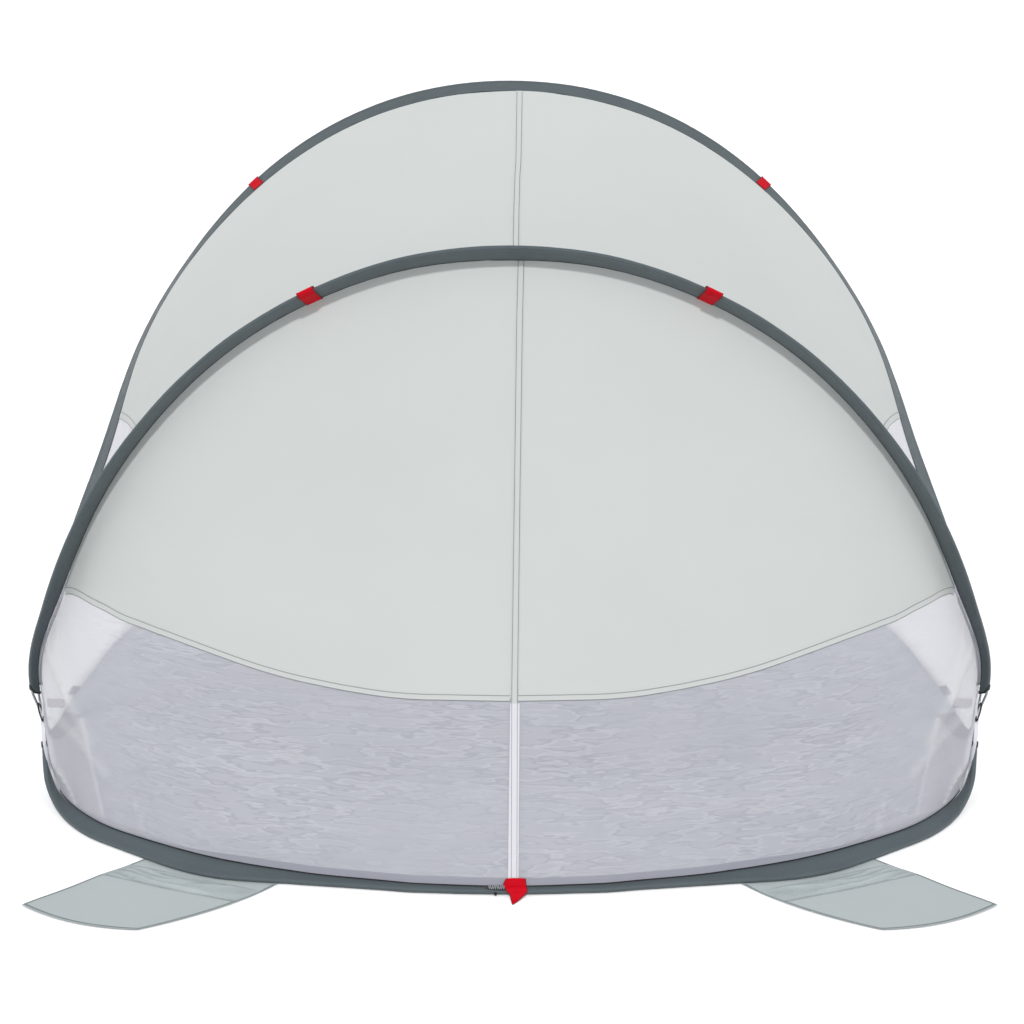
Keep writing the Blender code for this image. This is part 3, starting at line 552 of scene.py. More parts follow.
def add_tube(vertices, faces, uvs, path, radius, sides, closed=False):
    """Adds one round tube to lists of vertices and faces."""
    rings = tube_rings(path, radius, sides, closed)
    base = len(vertices)
    count = len(rings)
    vertices.extend(rings.reshape(-1, 3).tolist())
    for i in range(count if closed else count - 1):
        here = base + i * sides
        there = base + (i + 1) % count * sides
        for j in range(sides):
            k = (j + 1) % sides
            faces.append((here + j, here + k, there + k, there + j))
    if not closed:
        faces.append(tuple(base + j for j in range(sides))[::-1])
        faces.append(tuple(base + (count - 1) * sides + j for j in range(sides)))
    for distance in run_along(np.asarray(path)):
        uvs.extend((distance, j / sides * 0.01) for j in range(sides))


def tube(name, path, radius, sides, look, closed=False):
    """A round tube along a path, as a piece of its own."""
    vertices, faces, uvs = [], [], []
    add_tube(vertices, faces, uvs, path, radius, sides, closed)
    return finish_piece(name, vertices, faces, look, uvs)


def resampled(path, step):
    """Evenly spaced points along a path."""
    path = np.asarray(path, float)
    run = run_along(path)
    count = max(int(round(run[-1] / step)), 2)
    places = np.linspace(0, run[-1], count + 1)
    return np.stack([np.interp(places, run, path[:, axis]) for axis in range(3)], 1)


def stitches(name, lines, lifts, look="thread_grey", pitch=0.0042):
    """Rows of sewn stitches along lines; each line has a direction away from the cloth at each point."""
    radius = 0.0007
    vertices, faces, uvs = [], [], []
    for line, lift in zip(lines, lifts):
        fine = resampled(line, pitch / 4)
        ups = np.broadcast_to(np.asarray(lift, float), (len(line), 3))
        run = np.linspace(0, 1, len(line))
        reach = np.linspace(0, 1, len(fine))
        ups = np.stack([np.interp(reach, run, ups[:, axis]) for axis in range(3)], 1)
        for i in range(0, len(fine) - 4, 4):
            part = fine[i:i + 4] + ups[i:i + 4] * np.array((-0.0001, 0.0003, 0.0003, -0.0001))[:, None]
            add_tube(vertices, faces, uvs, part, (radius * 0.7, radius, radius, radius * 0.7), 5)
    return finish_piece(name, vertices, faces, look, uvs)


# Materials


class Nodes:
    """Short ways to add shader nodes to one material."""

    def __init__(self, name, colour, roughness, metallic=0.0, sheen=0.0):
        self.made = bpy.data.materials.new(name)
        self.made.use_nodes = True
        self.tree = self.made.node_tree
        self.shader = self.tree.nodes["Principled BSDF"]
        self.shader.inputs["Base Color"].default_value = (*colour, 1.0)
        self.shader.inputs["Roughness"].default_value = roughness
        self.shader.inputs["Metallic"].default_value = metallic
        self.shader.inputs["Sheen Weight"].default_value = sheen
        made_materials[name] = self.made

    def add(self, kind, **values):
        node = self.tree.nodes.new(kind)
        for key, value in values.items():
            setattr(node, key, value)
        return node

    def link(self, source, target):
        self.tree.links.new(source, target)

    def coordinates(self, uv=True):
        return self.add("ShaderNodeTexCoord").outputs["UV" if uv else "Object"]

    def noise(self, scale, detail=3.0, vector=None, stretch=None):
        node = self.add("ShaderNodeTexNoise")
        node.inputs["Scale"].default_value = scale
        node.inputs["Detail"].default_value = detail
        source = vector or self.coordinates(False)
        if stretch:
            mapping = self.add("ShaderNodeMapping")
            mapping.inputs["Scale"].default_value = stretch
            self.link(source, mapping.inputs["Vector"])
            source = mapping.outputs["Vector"]
        self.link(source, node.inputs["Vector"])
        return node.outputs["Fac"]

    def bands(self, period, way):
        node = self.add("ShaderNodeTexWave", wave_type='BANDS', bands_direction=way, wave_profile='SIN')
        node.inputs["Scale"].default_value = 2 * math.pi / (20 * period)
        self.link(self.coordinates(), node.inputs["Vector"])
        return node.outputs["Fac"]

    def maths(self, kind, first, second=None):
        node = self.add("ShaderNodeMath", operation=kind)
        for i, value in enumerate((first, second)):
            if value is None:
                continue
            if isinstance(value, (int, float)):
                node.inputs[i].default_value = value
            else:
                self.link(value, node.inputs[i])
        return node.outputs[0]

    def spread(self, value, low_value, high_value, start=0.3, end=0.7):
        node = self.add("ShaderNodeMapRange")
        node.inputs["From Min"].default_value = start
        node.inputs["From Max"].default_value = end
        node.inputs["To Min"].default_value = low_value
        node.inputs["To Max"].default_value = high_value
        self.link(value, node.inputs["Value"])
        return node.outputs["Result"]

    def mixed(self, factor, first, second):
        node = self.add("ShaderNodeMix", data_type='RGBA')
        self.link(factor, node.inputs["Factor"])
        for socket, value in ((6, first), (7, second)):
            if isinstance(value, tuple):
                node.inputs[socket].default_value = (*value, 1.0)
            else:
                self.link(value, node.inputs[socket])
        return node.outputs[2]

    def bump(self, height, strength, distance):
        node = self.add("ShaderNodeBump")
        node.inputs["Strength"].default_value = strength
        node.inputs["Distance"].default_value = distance
        self.link(height, node.inputs["Height"])
        self.link(node.outputs["Normal"], self.shader.inputs["Normal"])

    def colour(self, output):
        self.link(output, self.shader.inputs["Base Color"])

    def rough(self, output):
        self.link(output, self.shader.inputs["Roughness"])


def woven(name, colour, other, roughness, period, strength, sheen=0.0, streak=(1, 1, 1), cloud=2.5):
    """Plain woven cloth: fine threads both ways, with a faint cloudy change of colour."""
    m = Nodes(name, colour, roughness, sheen=sheen)
    threads = m.maths('ADD', m.bands(period, 'X'), m.bands(period * 0.9, 'Y'))
    grain = m.noise(900.0, 2.0)
    height = m.maths('ADD', threads, m.maths('MULTIPLY', grain, 0.8))
    m.bump(height, strength, 0.0003)
    base = m.mixed(m.spread(m.noise(cloud, 4.0, stretch=streak), 0.0, 1.0), colour, other)
    dark = tuple(c * 0.86 for c in colour)
    m.colour(m.mixed(m.spread(threads, 0.0, 0.35, 0.2, 0.9), base, dark))
    m.rough(m.spread(m.noise(cloud * 4, 3.0), roughness - 0.06, roughness + 0.06))
    return m


def make_net():
    """White see-through net, denser where it is gathered, with a painted highlight on its folds and painted
    shade and highlight lines for its creases.
    """
    m = woven("net", (0.725, 0.727, 0.780), (0.700, 0.703, 0.757), 0.8, 0.0016, 0.4)
    gather = m.add("ShaderNodeAttribute", attribute_name="gather").outputs["Fac"]
    cloud = m.spread(m.noise(7.0, 3.0), -0.025, 0.025)
    alpha = m.maths('ADD', m.maths('MULTIPLY', gather, 0.16), 0.47)
    clipped = m.maths('MINIMUM', m.maths('ADD', alpha, cloud), 0.84)
    m.link(clipped, m.shader.inputs["Alpha"])
    plain = m.shader.inputs["Base Color"].links[0].from_socket
    place = m.add("ShaderNodeSeparateXYZ")
    m.link(m.coordinates(False), place.inputs["Vector"])
    amount = m.spread(m.maths('ABSOLUTE', place.outputs["X"]), 1.0, 0.0, 0.68, 0.88)
    uneven = m.spread(m.noise(3.0, 2.0, stretch=(1.0, 1.0, 2.0)), 0.35, 1.0, 0.38, 0.62)
    amount = m.maths('MULTIPLY', amount, uneven)
    # Thin horizontal lines over the middle of the net: the dark ones are painted shade and the pale ones painted
    # highlight for its fine creases.
    for middle, tone, strength in ((0.47, (0.50, 0.51, 0.57), 0.52), (0.54, (0.92, 0.92, 0.95), 0.36)):
        away = m.maths('ABSOLUTE', m.maths('SUBTRACT', m.noise(1.0, 2.0, stretch=(13.0, 13.0, 95.0)), middle))
        plain = m.mixed(m.maths('MULTIPLY', m.spread(away, strength, 0.0, 0.0, 0.05), amount), plain, tone)
    # Painted highlight: the net's colour turns paler where it is gathered into folds, on top of the real extra
    # density in the alpha.
    m.colour(m.mixed(m.spread(gather, 0.0, 1.0, 0.0, 1.0), plain, (0.80, 0.80, 0.83)))
    m.shader.inputs["Specular IOR Level"].default_value = 0.1


def make_ground():
    """Floor cloth with thin painted shade and painted highlight lines for the fine creases across it."""
    colours = ((0.55, 0.64, 0.74), (0.50, 0.59, 0.69))
    m = woven("ground", *colours, 0.42, 0.0011, 0.3, streak=(0.7, 3, 1), cloud=3.5)
    plain = m.shader.inputs["Base Color"].links[0].from_socket
    uneven = m.spread(m.noise(2.4, 2.0, stretch=(1.0, 2.4, 1.0)), 0.25, 1.0, 0.38, 0.62)
    # The dark lines are painted shade and the pale line painted highlight, standing in for the light on the
    # floor's fine creases.
    for stretch, middle, reach, tone, strength in (
        ((6.5, 38.0, 1.0), 0.47, 0.06, (0.22, 0.27, 0.33), 0.7),
        ((6.5, 38.0, 1.0), 0.62, 0.06, (0.72, 0.80, 0.88), 0.6),
        ((12.0, 80.0, 1.0), 0.50, 0.06, (0.26, 0.31, 0.38), 0.45),
    ):
        away = m.maths('ABSOLUTE', m.maths('SUBTRACT', m.noise(1.0, 2.0, stretch=stretch), middle))
        line = m.spread(away, strength, 0.0, 0.0, reach)
        plain = m.mixed(m.maths('MULTIPLY', line, uneven), plain, tone)
    tint = m.spread(m.noise(4.5, 2.0, stretch=(1.0, 1.8, 1.0)), 0.0, 0.5, 0.45, 0.66)
    m.colour(m.mixed(tint, plain, (0.66, 0.62, 0.70)))


def make_materials():
    """Every material of the tent."""
    for name, colour, other, roughness, period, strength in (
        ("canopy", (0.658, 0.688, 0.673), (0.638, 0.668, 0.657), 0.66, 0.0009, 0.25),
        ("hem", (0.360, 0.368, 0.425), (0.335, 0.345, 0.400), 0.75, 0.0012, 0.3),
        ("flap", (0.512, 0.565, 0.568), (0.480, 0.532, 0.540), 0.42, 0.0011, 0.3),
        ("flap_hem", (0.25, 0.29, 0.30), (0.21, 0.245, 0.255), 0.6, 0.0008, 0.4),
        ("tape", (0.648, 0.676, 0.662), (0.632, 0.660, 0.650), 0.66, 0.0010, 0.25),
        ("white_tape", (0.80, 0.80, 0.85), (0.77, 0.77, 0.82), 0.65, 0.0010, 0.3),
        ("patch", (0.60, 0.59, 0.63), (0.56, 0.55, 0.59), 0.75, 0.0010, 0.3),
        # Dark red of the tubes along the webbing's edges: painted shade where the edges turn away from the
        # light.
        ("webbing_edge", (0.24, 0.002, 0.008), (0.20, 0.002, 0.006), 0.7, 0.0012, 0.6),
        ("closure", (0.050, 0.058, 0.060), (0.035, 0.042, 0.044), 0.6, 0.0010, 0.4),
        # binding is also the colour of the tubes that carry painted shade along the arches' and the net hem's
        # inner edges.
        ("binding", (0.012, 0.013, 0.016), (0.008, 0.009, 0.011), 0.6, 0.0009, 0.5),
        ("elastic", (0.010, 0.010, 0.012), (0.02, 0.02, 0.022), 0.7, 0.0008, 0.7),
        ("thread_grey", (0.085, 0.10, 0.105), (0.12, 0.135, 0.14), 0.6, 0.0003, 0.3),
        ("thread_mid", (0.20, 0.21, 0.23), (0.24, 0.25, 0.27), 0.6, 0.0003, 0.3),
        ("thread_pale", (0.34, 0.35, 0.37), (0.38, 0.39, 0.41), 0.6, 0.0003, 0.3),
        ("thread_red", (0.34, 0.003, 0.010), (0.28, 0.002, 0.008), 0.6, 0.0003, 0.3),
    ):
        woven(name, colour, other, roughness, period, strength)
    make_net()
    make_ground()
    woven("sleeve", (0.086, 0.113, 0.123), (0.071, 0.096, 0.107), 0.55, 0.0010, 0.35, 0.08, cloud=9.0)
    gloss = woven(
        "flap_gloss", (0.500, 0.560, 0.562), (0.36, 0.415, 0.425), 0.30, 0.0011, 0.3,
        streak=(1, 2, 1), cloud=9.0,
    )
    gloss.shader.inputs["Coat Weight"].default_value = 0.25
    webbing = woven("webbing", (0.70, 0.003, 0.016), (0.62, 0.002, 0.012), 0.6, 0.0018, 0.8, cloud=30.0)
    webbing.shader.inputs["Specular IOR Level"].default_value = 0.1
    steel = Nodes("steel", (0.36, 0.37, 0.38), 0.4, 0.9)
    steel.bump(steel.noise(400.0, 3.0, stretch=(1, 1, 6)), 0.2, 0.0002)
    steel.rough(steel.spread(steel.noise(60.0), 0.32, 0.48))


make_materials()


# Sleeves, rods and bindings


def both_sides(left):
    """A grid that runs from the right crossing over the middle to the left crossing."""
    left = np.asarray(left)
    return np.concatenate([across(left[1:])[::-1], left])


def section(depth, radius=sleeve_radius, tail=sleeve_tail_half - 0.0003):
    """Distances out from the rod and across the sleeve, once round its section."""
    round_turn = 1.75
    flat_steps = 6
    around = [(radius * math.cos(a), radius * math.sin(a)) for a in np.linspace(-round_turn, round_turn, 11)]
    upper = []
    start = np.array(around[-1])
    end = np.array((-depth, tail))
    for k in range(1, flat_steps + 1):
        part = k / flat_steps
        pinch = 0.35 * radius * math.exp(-((part - 0.22) / 0.12) ** 2)
        point = start + (end - start) * part
        upper.append((point[0], max(point[1] - pinch * (1 - part), tail)))
    return around + upper + [(-depth - tail * 0.6, 0.0)] + [(x, -y) for x, y in upper[::-1]]


end_slants = {"low_arch": 0.019, "tall_arch": 0.006, "back_edge": 0.0, "front_edge": 0.0}
end_cuts = {"low_arch": -0.004, "tall_arch": 0.0, "back_edge": -0.006, "front_edge": 0.0}
slant_stations = 14
binding_margin = 0.0012
binding_tail_margin = 0.0010


def slanted(arc, name, place, out):
    """The place of a sleeve's corner, moved along near its end so that the sleeve is cut at a slant."""
    near = smooth(place, half_stations - slant_stations, half_stations)
    step = arc.length * (arc.shares[-1] - arc.shares[-2])
    inward = -out / arc.depth(place)
    return place + near * (end_cuts[name] + end_slants[name] * inward) / step


def make_sleeve(arc, name, relief):
    """A sewn sleeve with its rod channel at the outer edge and a flat sewn inner edge."""
    rows = []
    for i in range(half_stations + 1):
        outline = section(arc.depth(i), sleeve_outer_radius if arc is back else sleeve_radius)
        rows.append([arc.from_rod(slanted(arc, name, i, out), out, side) for out, side in outline])
    grid = both_sides(rows)
    fine = []
    for a, b in zip(grid[:-1], grid[1:]):
        fine += [a, (a + b) / 2]
    grid = np.array(fine + [grid[-1]])
    normals = grid_normals(grid, True)
    centre = grid.mean(1)[:, None, :]
    if ((grid - centre) * normals).sum() < 0:
        normals = -normals
    run = run_along(grid[:, 0])
    shape = grid.shape[:2]
    around = np.arange(shape[1]) * 0.004
    spots = np.stack([np.broadcast_to(run[:, None], shape), np.broadcast_to(around, shape)], 2)
    flat = np.concatenate([spots, np.zeros((*shape, 1))], 2)
    ends = smooth(np.minimum(run, run[-1] - run), 0.0, 0.05)[:, None]
    swell = relief * (0.55 * wave(flat, (14, 60, 1), 3.0) + 0.35 * wave(flat, (60, 120, 1), 7.0))
    grid = grid + normals * (swell * ends)[:, :, None]
    band = sheet(name + "_band", grid, heavy_thickness, "sleeve", wrap=True, uvs=spots)
    fixed(band, name + "_sleeve")


def seam_and_shade_line(arc, name, radius):
    """A dark sewn edge along the inside of a sleeve, near black and thick so that it also carries the shadow gap
    there as painted shade.
    """
    line = both_sides([arc.from_tail(i, 0.0006) for i in range(0, half_stations + 1, 2)])
    fixed(tube(name, resampled(line, 0.012), radius, 8, "binding"))


def make_bindings(arc, name):
    """Black binding round the cut ends of a sleeve."""
    start = arc.station_at(1 - binding_width / arc.length)
    radius = (sleeve_outer_radius if arc is back else sleeve_radius) + binding_margin
    for side, turn in turns:
        rows = []
        for place in np.linspace(start, half_stations, 6):
            outline = section(arc.depth(place) + binding_margin, radius, sleeve_tail_half + binding_tail_margin)
            rows.append([arc.from_rod(slanted(arc, name, place, out), out, by) for out, by in outline])
        grid = turn(rows)
        end = sheet(f"{name}_{side}_bound_end", grid, binding_thickness, "binding", wrap=True)
        fixed(end, f"{name}_binding_{side}")


def smooth_between(before, start, end, after, steps):
    """Points on an even curve from start to end that leaves and arrives along its neighbours."""
    span = np.linalg.norm(end - start)
    run_in = unit(end - before) * span
    run_out = unit(after - start) * span
    made = []
    for k in range(1, steps):
        part = k / steps
        point = (2 * part ** 3 - 3 * part ** 2 + 1) * start + (part ** 3 - 2 * part ** 2 + part) * run_in
        made.append(point + (3 * part ** 2 - 2 * part ** 3) * end + (part ** 3 - part ** 2) * run_out)
    return made


def make_rod(name, edge, arch, sign):
    """One closed ring of steel rod that passes the other loop's ring at both crossings."""
    near_side = [edge.from_rod(i) for i in range(0, half_stations + 1, 2)]
    far_side = [arch.from_rod(i) for i in range(0, half_stations + 1, 2)]
    crossing = np.array((-crossing_half_width + sign * crossing_offset, crossing_depth, crossing_height))
    rising = smooth_between(near_side[-2], near_side[-1], crossing, far_side[-1], 8)
    leaving = smooth_between(near_side[-1], crossing, far_side[-1], far_side[-2], 8)
    left = near_side + rising + [crossing] + leaving + far_side[::-1]
    right = [across(point) for point in left[1:-1]][::-1]
    ring = tube(name + "_wire", left + right, rod_radius, 16, "steel", closed=True)
    fixed(ring, name + "_rod")


for arc, name, relief in (
    (low, "low_arch", 0.0006),
    (tall, "tall_arch", 0.0006),
    (back, "back_edge", 0.0010),
    (front, "front_edge", 0.0008),
):
    make_sleeve(arc, name, relief)
    make_bindings(arc, name)
make_rod("tall_loop", back, tall, 1)
make_rod("low_loop", front, low, -1)
for node in ("tall_loop_ferrule", "low_loop_ferrule"):
    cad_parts[node].data.materials.clear()
    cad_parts[node].data.materials.append(made_materials["steel"])
# These near-black tubes are partly a sewn edge and partly painted shade for the gap under each arch's sleeve.
seam_and_shade_line(low, "low_arch_seam_and_shade_line", 0.0018)
seam_and_shade_line(tall, "tall_arch_seam_and_shade_line", 0.0013)


# Panels of cloth and net


def panel_relief(grid, broad, fine):
    """Moves a panel's points in and out a little, as cloth under uneven tension."""
    normals = outward_normals(grid)
    height = broad * wave(grid, (2.6, 2.6, 2.6), 11.0) + fine * wave(grid, (11, 11, 11), 5.0)
    return normals * height[:, :, None]


def edge_steps(count):
    """How many steps each of a row of points is from the row's nearer end."""
    return np.minimum(np.arange(count), np.arange(count)[::-1])


def border(grid):
    """One inside a panel, falling to nought at its edges."""
    rows, columns = grid.shape[:2]
    return smooth(edge_steps(rows) / 5, 0, 1)[:, None] * smooth(edge_steps(columns) / 7, 0, 1)[None, :]


net_fold_lines = (
    (((0.796, 0.07), (0.758, 0.27), (0.718, 0.46)), 0.015, 0.9),
    (((0.975, 0.57), (0.871, 0.74), (0.808, 0.98)), 0.013, 1.0),
    (((0.792, 0.87), (0.750, 0.92), (0.717, 0.98)), 0.006, 1.1),
    (((0.992, 0.37), (0.783, 0.53), (0.688, 0.66), (0.592, 0.81)), 0.012, 0.5),
    (((0.718, 0.46), (0.679, 0.58), (0.637, 0.69)), 0.016, 0.45),
    (((0.740, 0.0), (0.750, 0.17), (0.713, 0.38)), 0.014, 0.5),
    (((0.525, 0.90), (0.517, 0.94), (0.519, 0.98)), 0.007, 0.35),
)


def net_folds(grid, places):
    """How strongly each point of the back net is gathered into a soft fold."""
    total = np.zeros(grid.shape[:2])
    for line, width, strength in net_fold_lines:
        knots = np.array([back_points_at(place * half_stations, [share])[0] for place, share in line])
        for turn in (np.asarray, across):
            path = resampled(turn(knots), 0.006)
            gaps = np.linalg.norm(grid[:, :, None, :] - path[None, None], axis=3).min(2)
            total += strength * np.exp(-(gaps / width) ** 2)
    return total * smooth(places, 0.42 * half_stations, 0.55 * half_stations)[None, :]


def move_joint(grid, side, line):
    """Moves the middle edge of half a panel to its joint under the tape, a little right of the middle."""
    reach = 5
    for i, row in enumerate(grid):
        offset = read_off(line, i / (len(grid) - 1))
        row[:reach, 0] += (1 - np.arange(reach) / reach) * (offset if side == "left" else -offset)


net_last = half_stations - 0.2


def make_back_half(side, turn):
    """Canopy and net of one half of the back."""
    columns = []
    for p in np.linspace(0.0, seam_end_place, 76)[:-1]:
        joint = max(seam_share(p) - fit_gap / drop_length(p), 0.004)
        columns.append(back_points_at(p, np.linspace(0, joint, 31)))
    grid = np.array(columns).transpose(1, 0, 2)
    move_joint(grid, side, [(0.0, 0.0208), (0.7, 0.0092)])
    grid = turn(grid)
    grid = grid + panel_relief(grid, 0.0030, 0.0008) * border(grid)[:, :, None]
    fixed(sheet("back_canopy_" + side, grid, cloth_thickness, "canopy"), "back_fabric_" + side)

    places = np.linspace(0.0, net_last, 121)
    columns = [back_points_at(p, np.linspace(seam_share(p), 1.0, 41)) for p in places]
    grid = np.array(columns).transpose(1, 0, 2)
    move_joint(grid, side, [(0.0, 0.0091), (1.0, 0.0081)])
    grid = turn(grid)
    normals = outward_normals(grid)
    folds = net_folds(grid, places)
    height = 0.0050 * folds + 0.0022 * wave(grid, (3.5, 3.5, 3.5), 21.0)
    rest = 1 - smooth(np.linspace(0, 1, 41), 0.86, 0.98)[:, None]
    grid = grid + normals * (height * border(grid) * rest)[:, :, None]
    net = sheet("back_net_" + side, grid, net_thickness, "net")
    gather = net.data.attributes.new("gather", 'FLOAT', 'POINT')
    gather.data.foreach_set("value", np.tile(folds.ravel(), 2).astype(np.float32))
    fixed(net, "back_mesh_" + side)


def make_roof_half(side, turn):
    """Canopy and net of one half of the roof."""
    shares = np.linspace(0, 1, 33)
    grid = np.empty((33, 61, 3))
    for i, share in enumerate(shares):
        places = np.linspace(0.0, roof_seam_place(share) - 0.005 * coarse, 61)
        grid[i] = [roof_points_at(p, [share])[0] for p in places]
    move_joint(grid, side, [(0.0, 0.0110), (0.5, 0.0152), (1.0, 0.0211)])
    grid = turn(grid)
    grid = grid + panel_relief(grid, 0.0035, 0.0008) * border(grid)[:, :, None]
    fixed(sheet("roof_canopy_" + side, grid, cloth_thickness, "canopy"), "roof_fabric_" + side)

    grid = np.empty((33, 49, 3))
    for i, share in enumerate(shares):
        places = np.linspace(roof_seam_place(share), panel_end, 49)
        grid[i] = [roof_points_at(p, [share])[0] for p in places]
    grid = turn(grid)
    height = 0.0030 * wave(grid, (5, 5, 5), 31.0)
    grid = grid + outward_normals(grid) * (height * border(grid))[:, :, None]
    fixed(sheet("roof_net_" + side, grid, net_thickness, "net"), "roof_mesh_" + side)


def soften(points):
    """The same points with each corner rounded a little."""
    points = np.array(points)
    for _ in range(4):
        points[1:-1] = points[1:-1] / 2 + (points[:-2] + points[2:]) / 4
    return points


tape_lift = cloth_thickness / 2 + 0.0005
curved_tape_lift = tape_lift + 0.0004
side_tape_lift = tape_lift + 0.0003
side_tape_half = 0.006
net_hem_width = 0.0155
net_hem_lift = 0.0008
net_edge_in = 0.0012
net_edge_lift = 0.0004
net_edge_radius = 0.0014
side_hem_lift = 0.0012
side_hem_upper_width = 0.0075
side_hem_lower_width = 0.0120
side_hem_inner = np.array((0.0028, -0.0025, 0.0))
side_hem_bulge = np.array((0.002, -0.009, 0.0))
hem_end_share = 0.90
hem_reaches = (
    (0.12, 0.0022, 0.0050), (0.34, 0.0036, 0.0050), (0.55, 0.0065, 0.0050), (0.66, 0.0090, 0.0065),
    (0.77, 0.0092, 0.0150), (0.88, 0.0070, 0.0290), (1.0, 0.0020, 0.0375), (1.25, 0.0006, 0.0350),
    (1.5, 0.0, 0.0230), (1.75, 0.0, 0.0060), (2.0, 0.0, 0.0),
)


def hem_reach(stop):
    """How far the net's side hem reaches sideways and toward the back, round the rod and the sleeve."""
    return np.array((-read_off(hem_reaches, stop), -read_off(hem_reaches, stop, 2), 0.0))


def sewn_tape(name, side, strip, node, thread):
    """A tape with a row of stitches along both of its edges."""
    fixed(sheet(f"{name}_tape_{side}", strip, heavy_thickness, "tape"), node)
    ups = grid_normals(strip, False)
    ups = ups * np.sign(((strip - inside_point) * ups).sum())
    lines = [strip[0] * 0.8 + strip[1] * 0.2, strip[-1] * 0.8 + strip[-2] * 0.2]
    fixed(stitches(f"{name}_stitches_{side}", lines, [ups[0], ups[-1]], thread))


def make_curved_tape(side, turn):
    """Curved tape between the fabric and the net of the back."""
    places = np.linspace(0.0 if side == "left" else low.station_after(0.019), seam_end_place - 0.9, 90)
    columns = []
    for p, half_width in zip(places, 0.0056 + 0.0012 * smooth(places, 10, 60)):
        shares = [seam_share(p) + s * half_width / drop_length(p) for s in np.linspace(-1, 1, 5)]
        columns.append([raised(back_points_at, p, min(max(s, 0.0), 1.0), curved_tape_lift) for s in shares])
    strip = turn(np.array(columns).transpose(1, 0, 2))
    sewn_tape("back_curved", side, strip, "back_seam_tape_" + side, "thread_grey")


def make_side_tape(side, turn):
    """Side tape between the roof's fabric and its net."""
    reach = side_tape_half / low.length * half_stations
    columns = []
    for share in np.linspace(0.012, 0.988, 44):
        places = [roof_seam_place(share) + s * reach for s in np.linspace(-1, 1, 5)]
        columns.append([raised(roof_points_at, p, share, side_tape_lift) for p in places])
    strip = turn(np.array(columns).transpose(1, 0, 2))
    sewn_tape("roof_side", side, strip, "roof_seam_tape_" + side, "thread_pale")


def make_net_hem(side, turn):
    """Hem of the net over the back edge's sleeve, with its dark edge, which also carries the shadow gap between
    hem and sleeve as painted shade.
    """
    columns = []
    edge = []
    for p in np.linspace(0.0, back.station_at(hem_end_share), 116):
        drop = drop_length(p)
        width = net_hem_width * (1 - 0.7 * smooth(back.share_at(p), 0.40, 0.64))
        shares = [1 - width * s / drop for s in np.linspace(1, 0, 5)]
        columns.append([raised(back_points_at, p, share, net_hem_lift) for share in shares])
        edge.append(raised(back_points_at, p, 1 - net_edge_in / drop, net_edge_lift))
    grid = turn(np.array(columns).transpose(1, 0, 2))
    fixed(sheet("net_hem_" + side, grid, heavy_thickness, "hem"))
    line = resampled(turn(edge), 0.01)
    # The dark edge tube is partly the hem's edge and partly painted shade for the gap above the sleeve.
    fixed(tube("net_dark_edge_" + side, line, net_edge_radius, 8, "binding"))


def make_side_hem(side, turn):
    """Pale hem along the arch, down the net's free side and along the end of the back edge's sleeve."""
    outer, inner, bulge = [], [], []
    for p in np.linspace(seam_end_place + 0.6, net_last - 0.6, 44):
        outer.append(raised(back_points_at, p, 0.004, side_hem_lift))
        inner.append(raised(back_points_at, p, 0.004 + side_hem_upper_width / drop_length(p), side_hem_lift))
        bulge.append(0.0)
    for share in np.linspace(0.12, 0.88, 14):
        middle = back_points_at(net_last, [share])[0]
        outer.append(middle + hem_reach(share))
        inner.append(middle + side_hem_inner)
        bulge.append(smooth(share, 0.5, 0.8))
    places = np.linspace(net_last - 0.6, back.station_at(hem_end_share), 24)
    for p, stop in zip(places, np.linspace(1, 2, 24)):
        outer.append(raised(back_points_at, p, 0.998, side_hem_lift) + hem_reach(stop))
        inner.append(raised(back_points_at, p, 1 - side_hem_lower_width / drop_length(p), side_hem_lift))
        bulge.append(1 - smooth(stop, 1.3, 1.8))
    outer, inner = soften(outer), soften(inner)
    middle = (outer + inner) / 2 + np.array(bulge, dtype=float)[:, None] * side_hem_bulge
    rows = turn(np.array([outer, middle, inner]))
    fixed(sheet("net_side_hem_" + side, rows, heavy_thickness, "white_tape"))
    line = rows[2] * 0.75 + rows[1] * 0.25
    away = np.array((0.0, -1.0, 0.2))
    fixed(stitches("net_side_stitches_" + side, [line], [away], "thread_mid"))


for side, turn in turns:
    make_back_half(side, turn)
    make_roof_half(side, turn)
    make_curved_tape(side, turn)
    make_side_tape(side, turn)
    make_net_hem(side, turn)
    make_side_hem(side, turn)


def beside_middle(surface, offset, share, lift):
    """A point on a panel at a distance to the right of its middle line."""
    far_edge = back if surface is back_points_at else tall
    stretch = 1 + (far_edge.length / low.length - 1) * share
    place = low.station_after(abs(offset) / stretch)
    point = raised(surface, place, share, lift)
    return across(point) if offset > 0 else point


def centre_strip(name, node, surface, shares, edges, lines, look, thread):
    """A tape along the middle of a panel; edges and lines hold (share, left, right) of sides and stitches."""
    lift = tape_lift + (0.0014 if look == "white_tape" else 0.0004)
    rows = []
    sewn_rows = []
    for share in shares:
        left, right = (read_off(edges, share, k) for k in (1, 2))
        rows.append([beside_middle(surface, offset, share, lift) for offset in np.linspace(left, right, 6)])
        sewn_rows.append([beside_middle(surface, read_off(lines, share, k), share, lift) for k in (1, 2)])
    fixed(sheet(name, np.array(rows), heavy_thickness, look), node)
    ups = np.array((0.0, -0.5, 0.85)) if surface is roof_points_at else np.array((0.0, -0.95, 0.3))
    sewn_rows = np.array(sewn_rows)
    fixed(stitches(name + "_stitches", [sewn_rows[:, 0], sewn_rows[:, 1]], [ups, ups], thread))


def widened(lines, margin=0.0012):
    """The sides of a tape at a margin outside its lines of stitches."""
    return [(share, left - margin, right + margin) for share, left, right in lines]


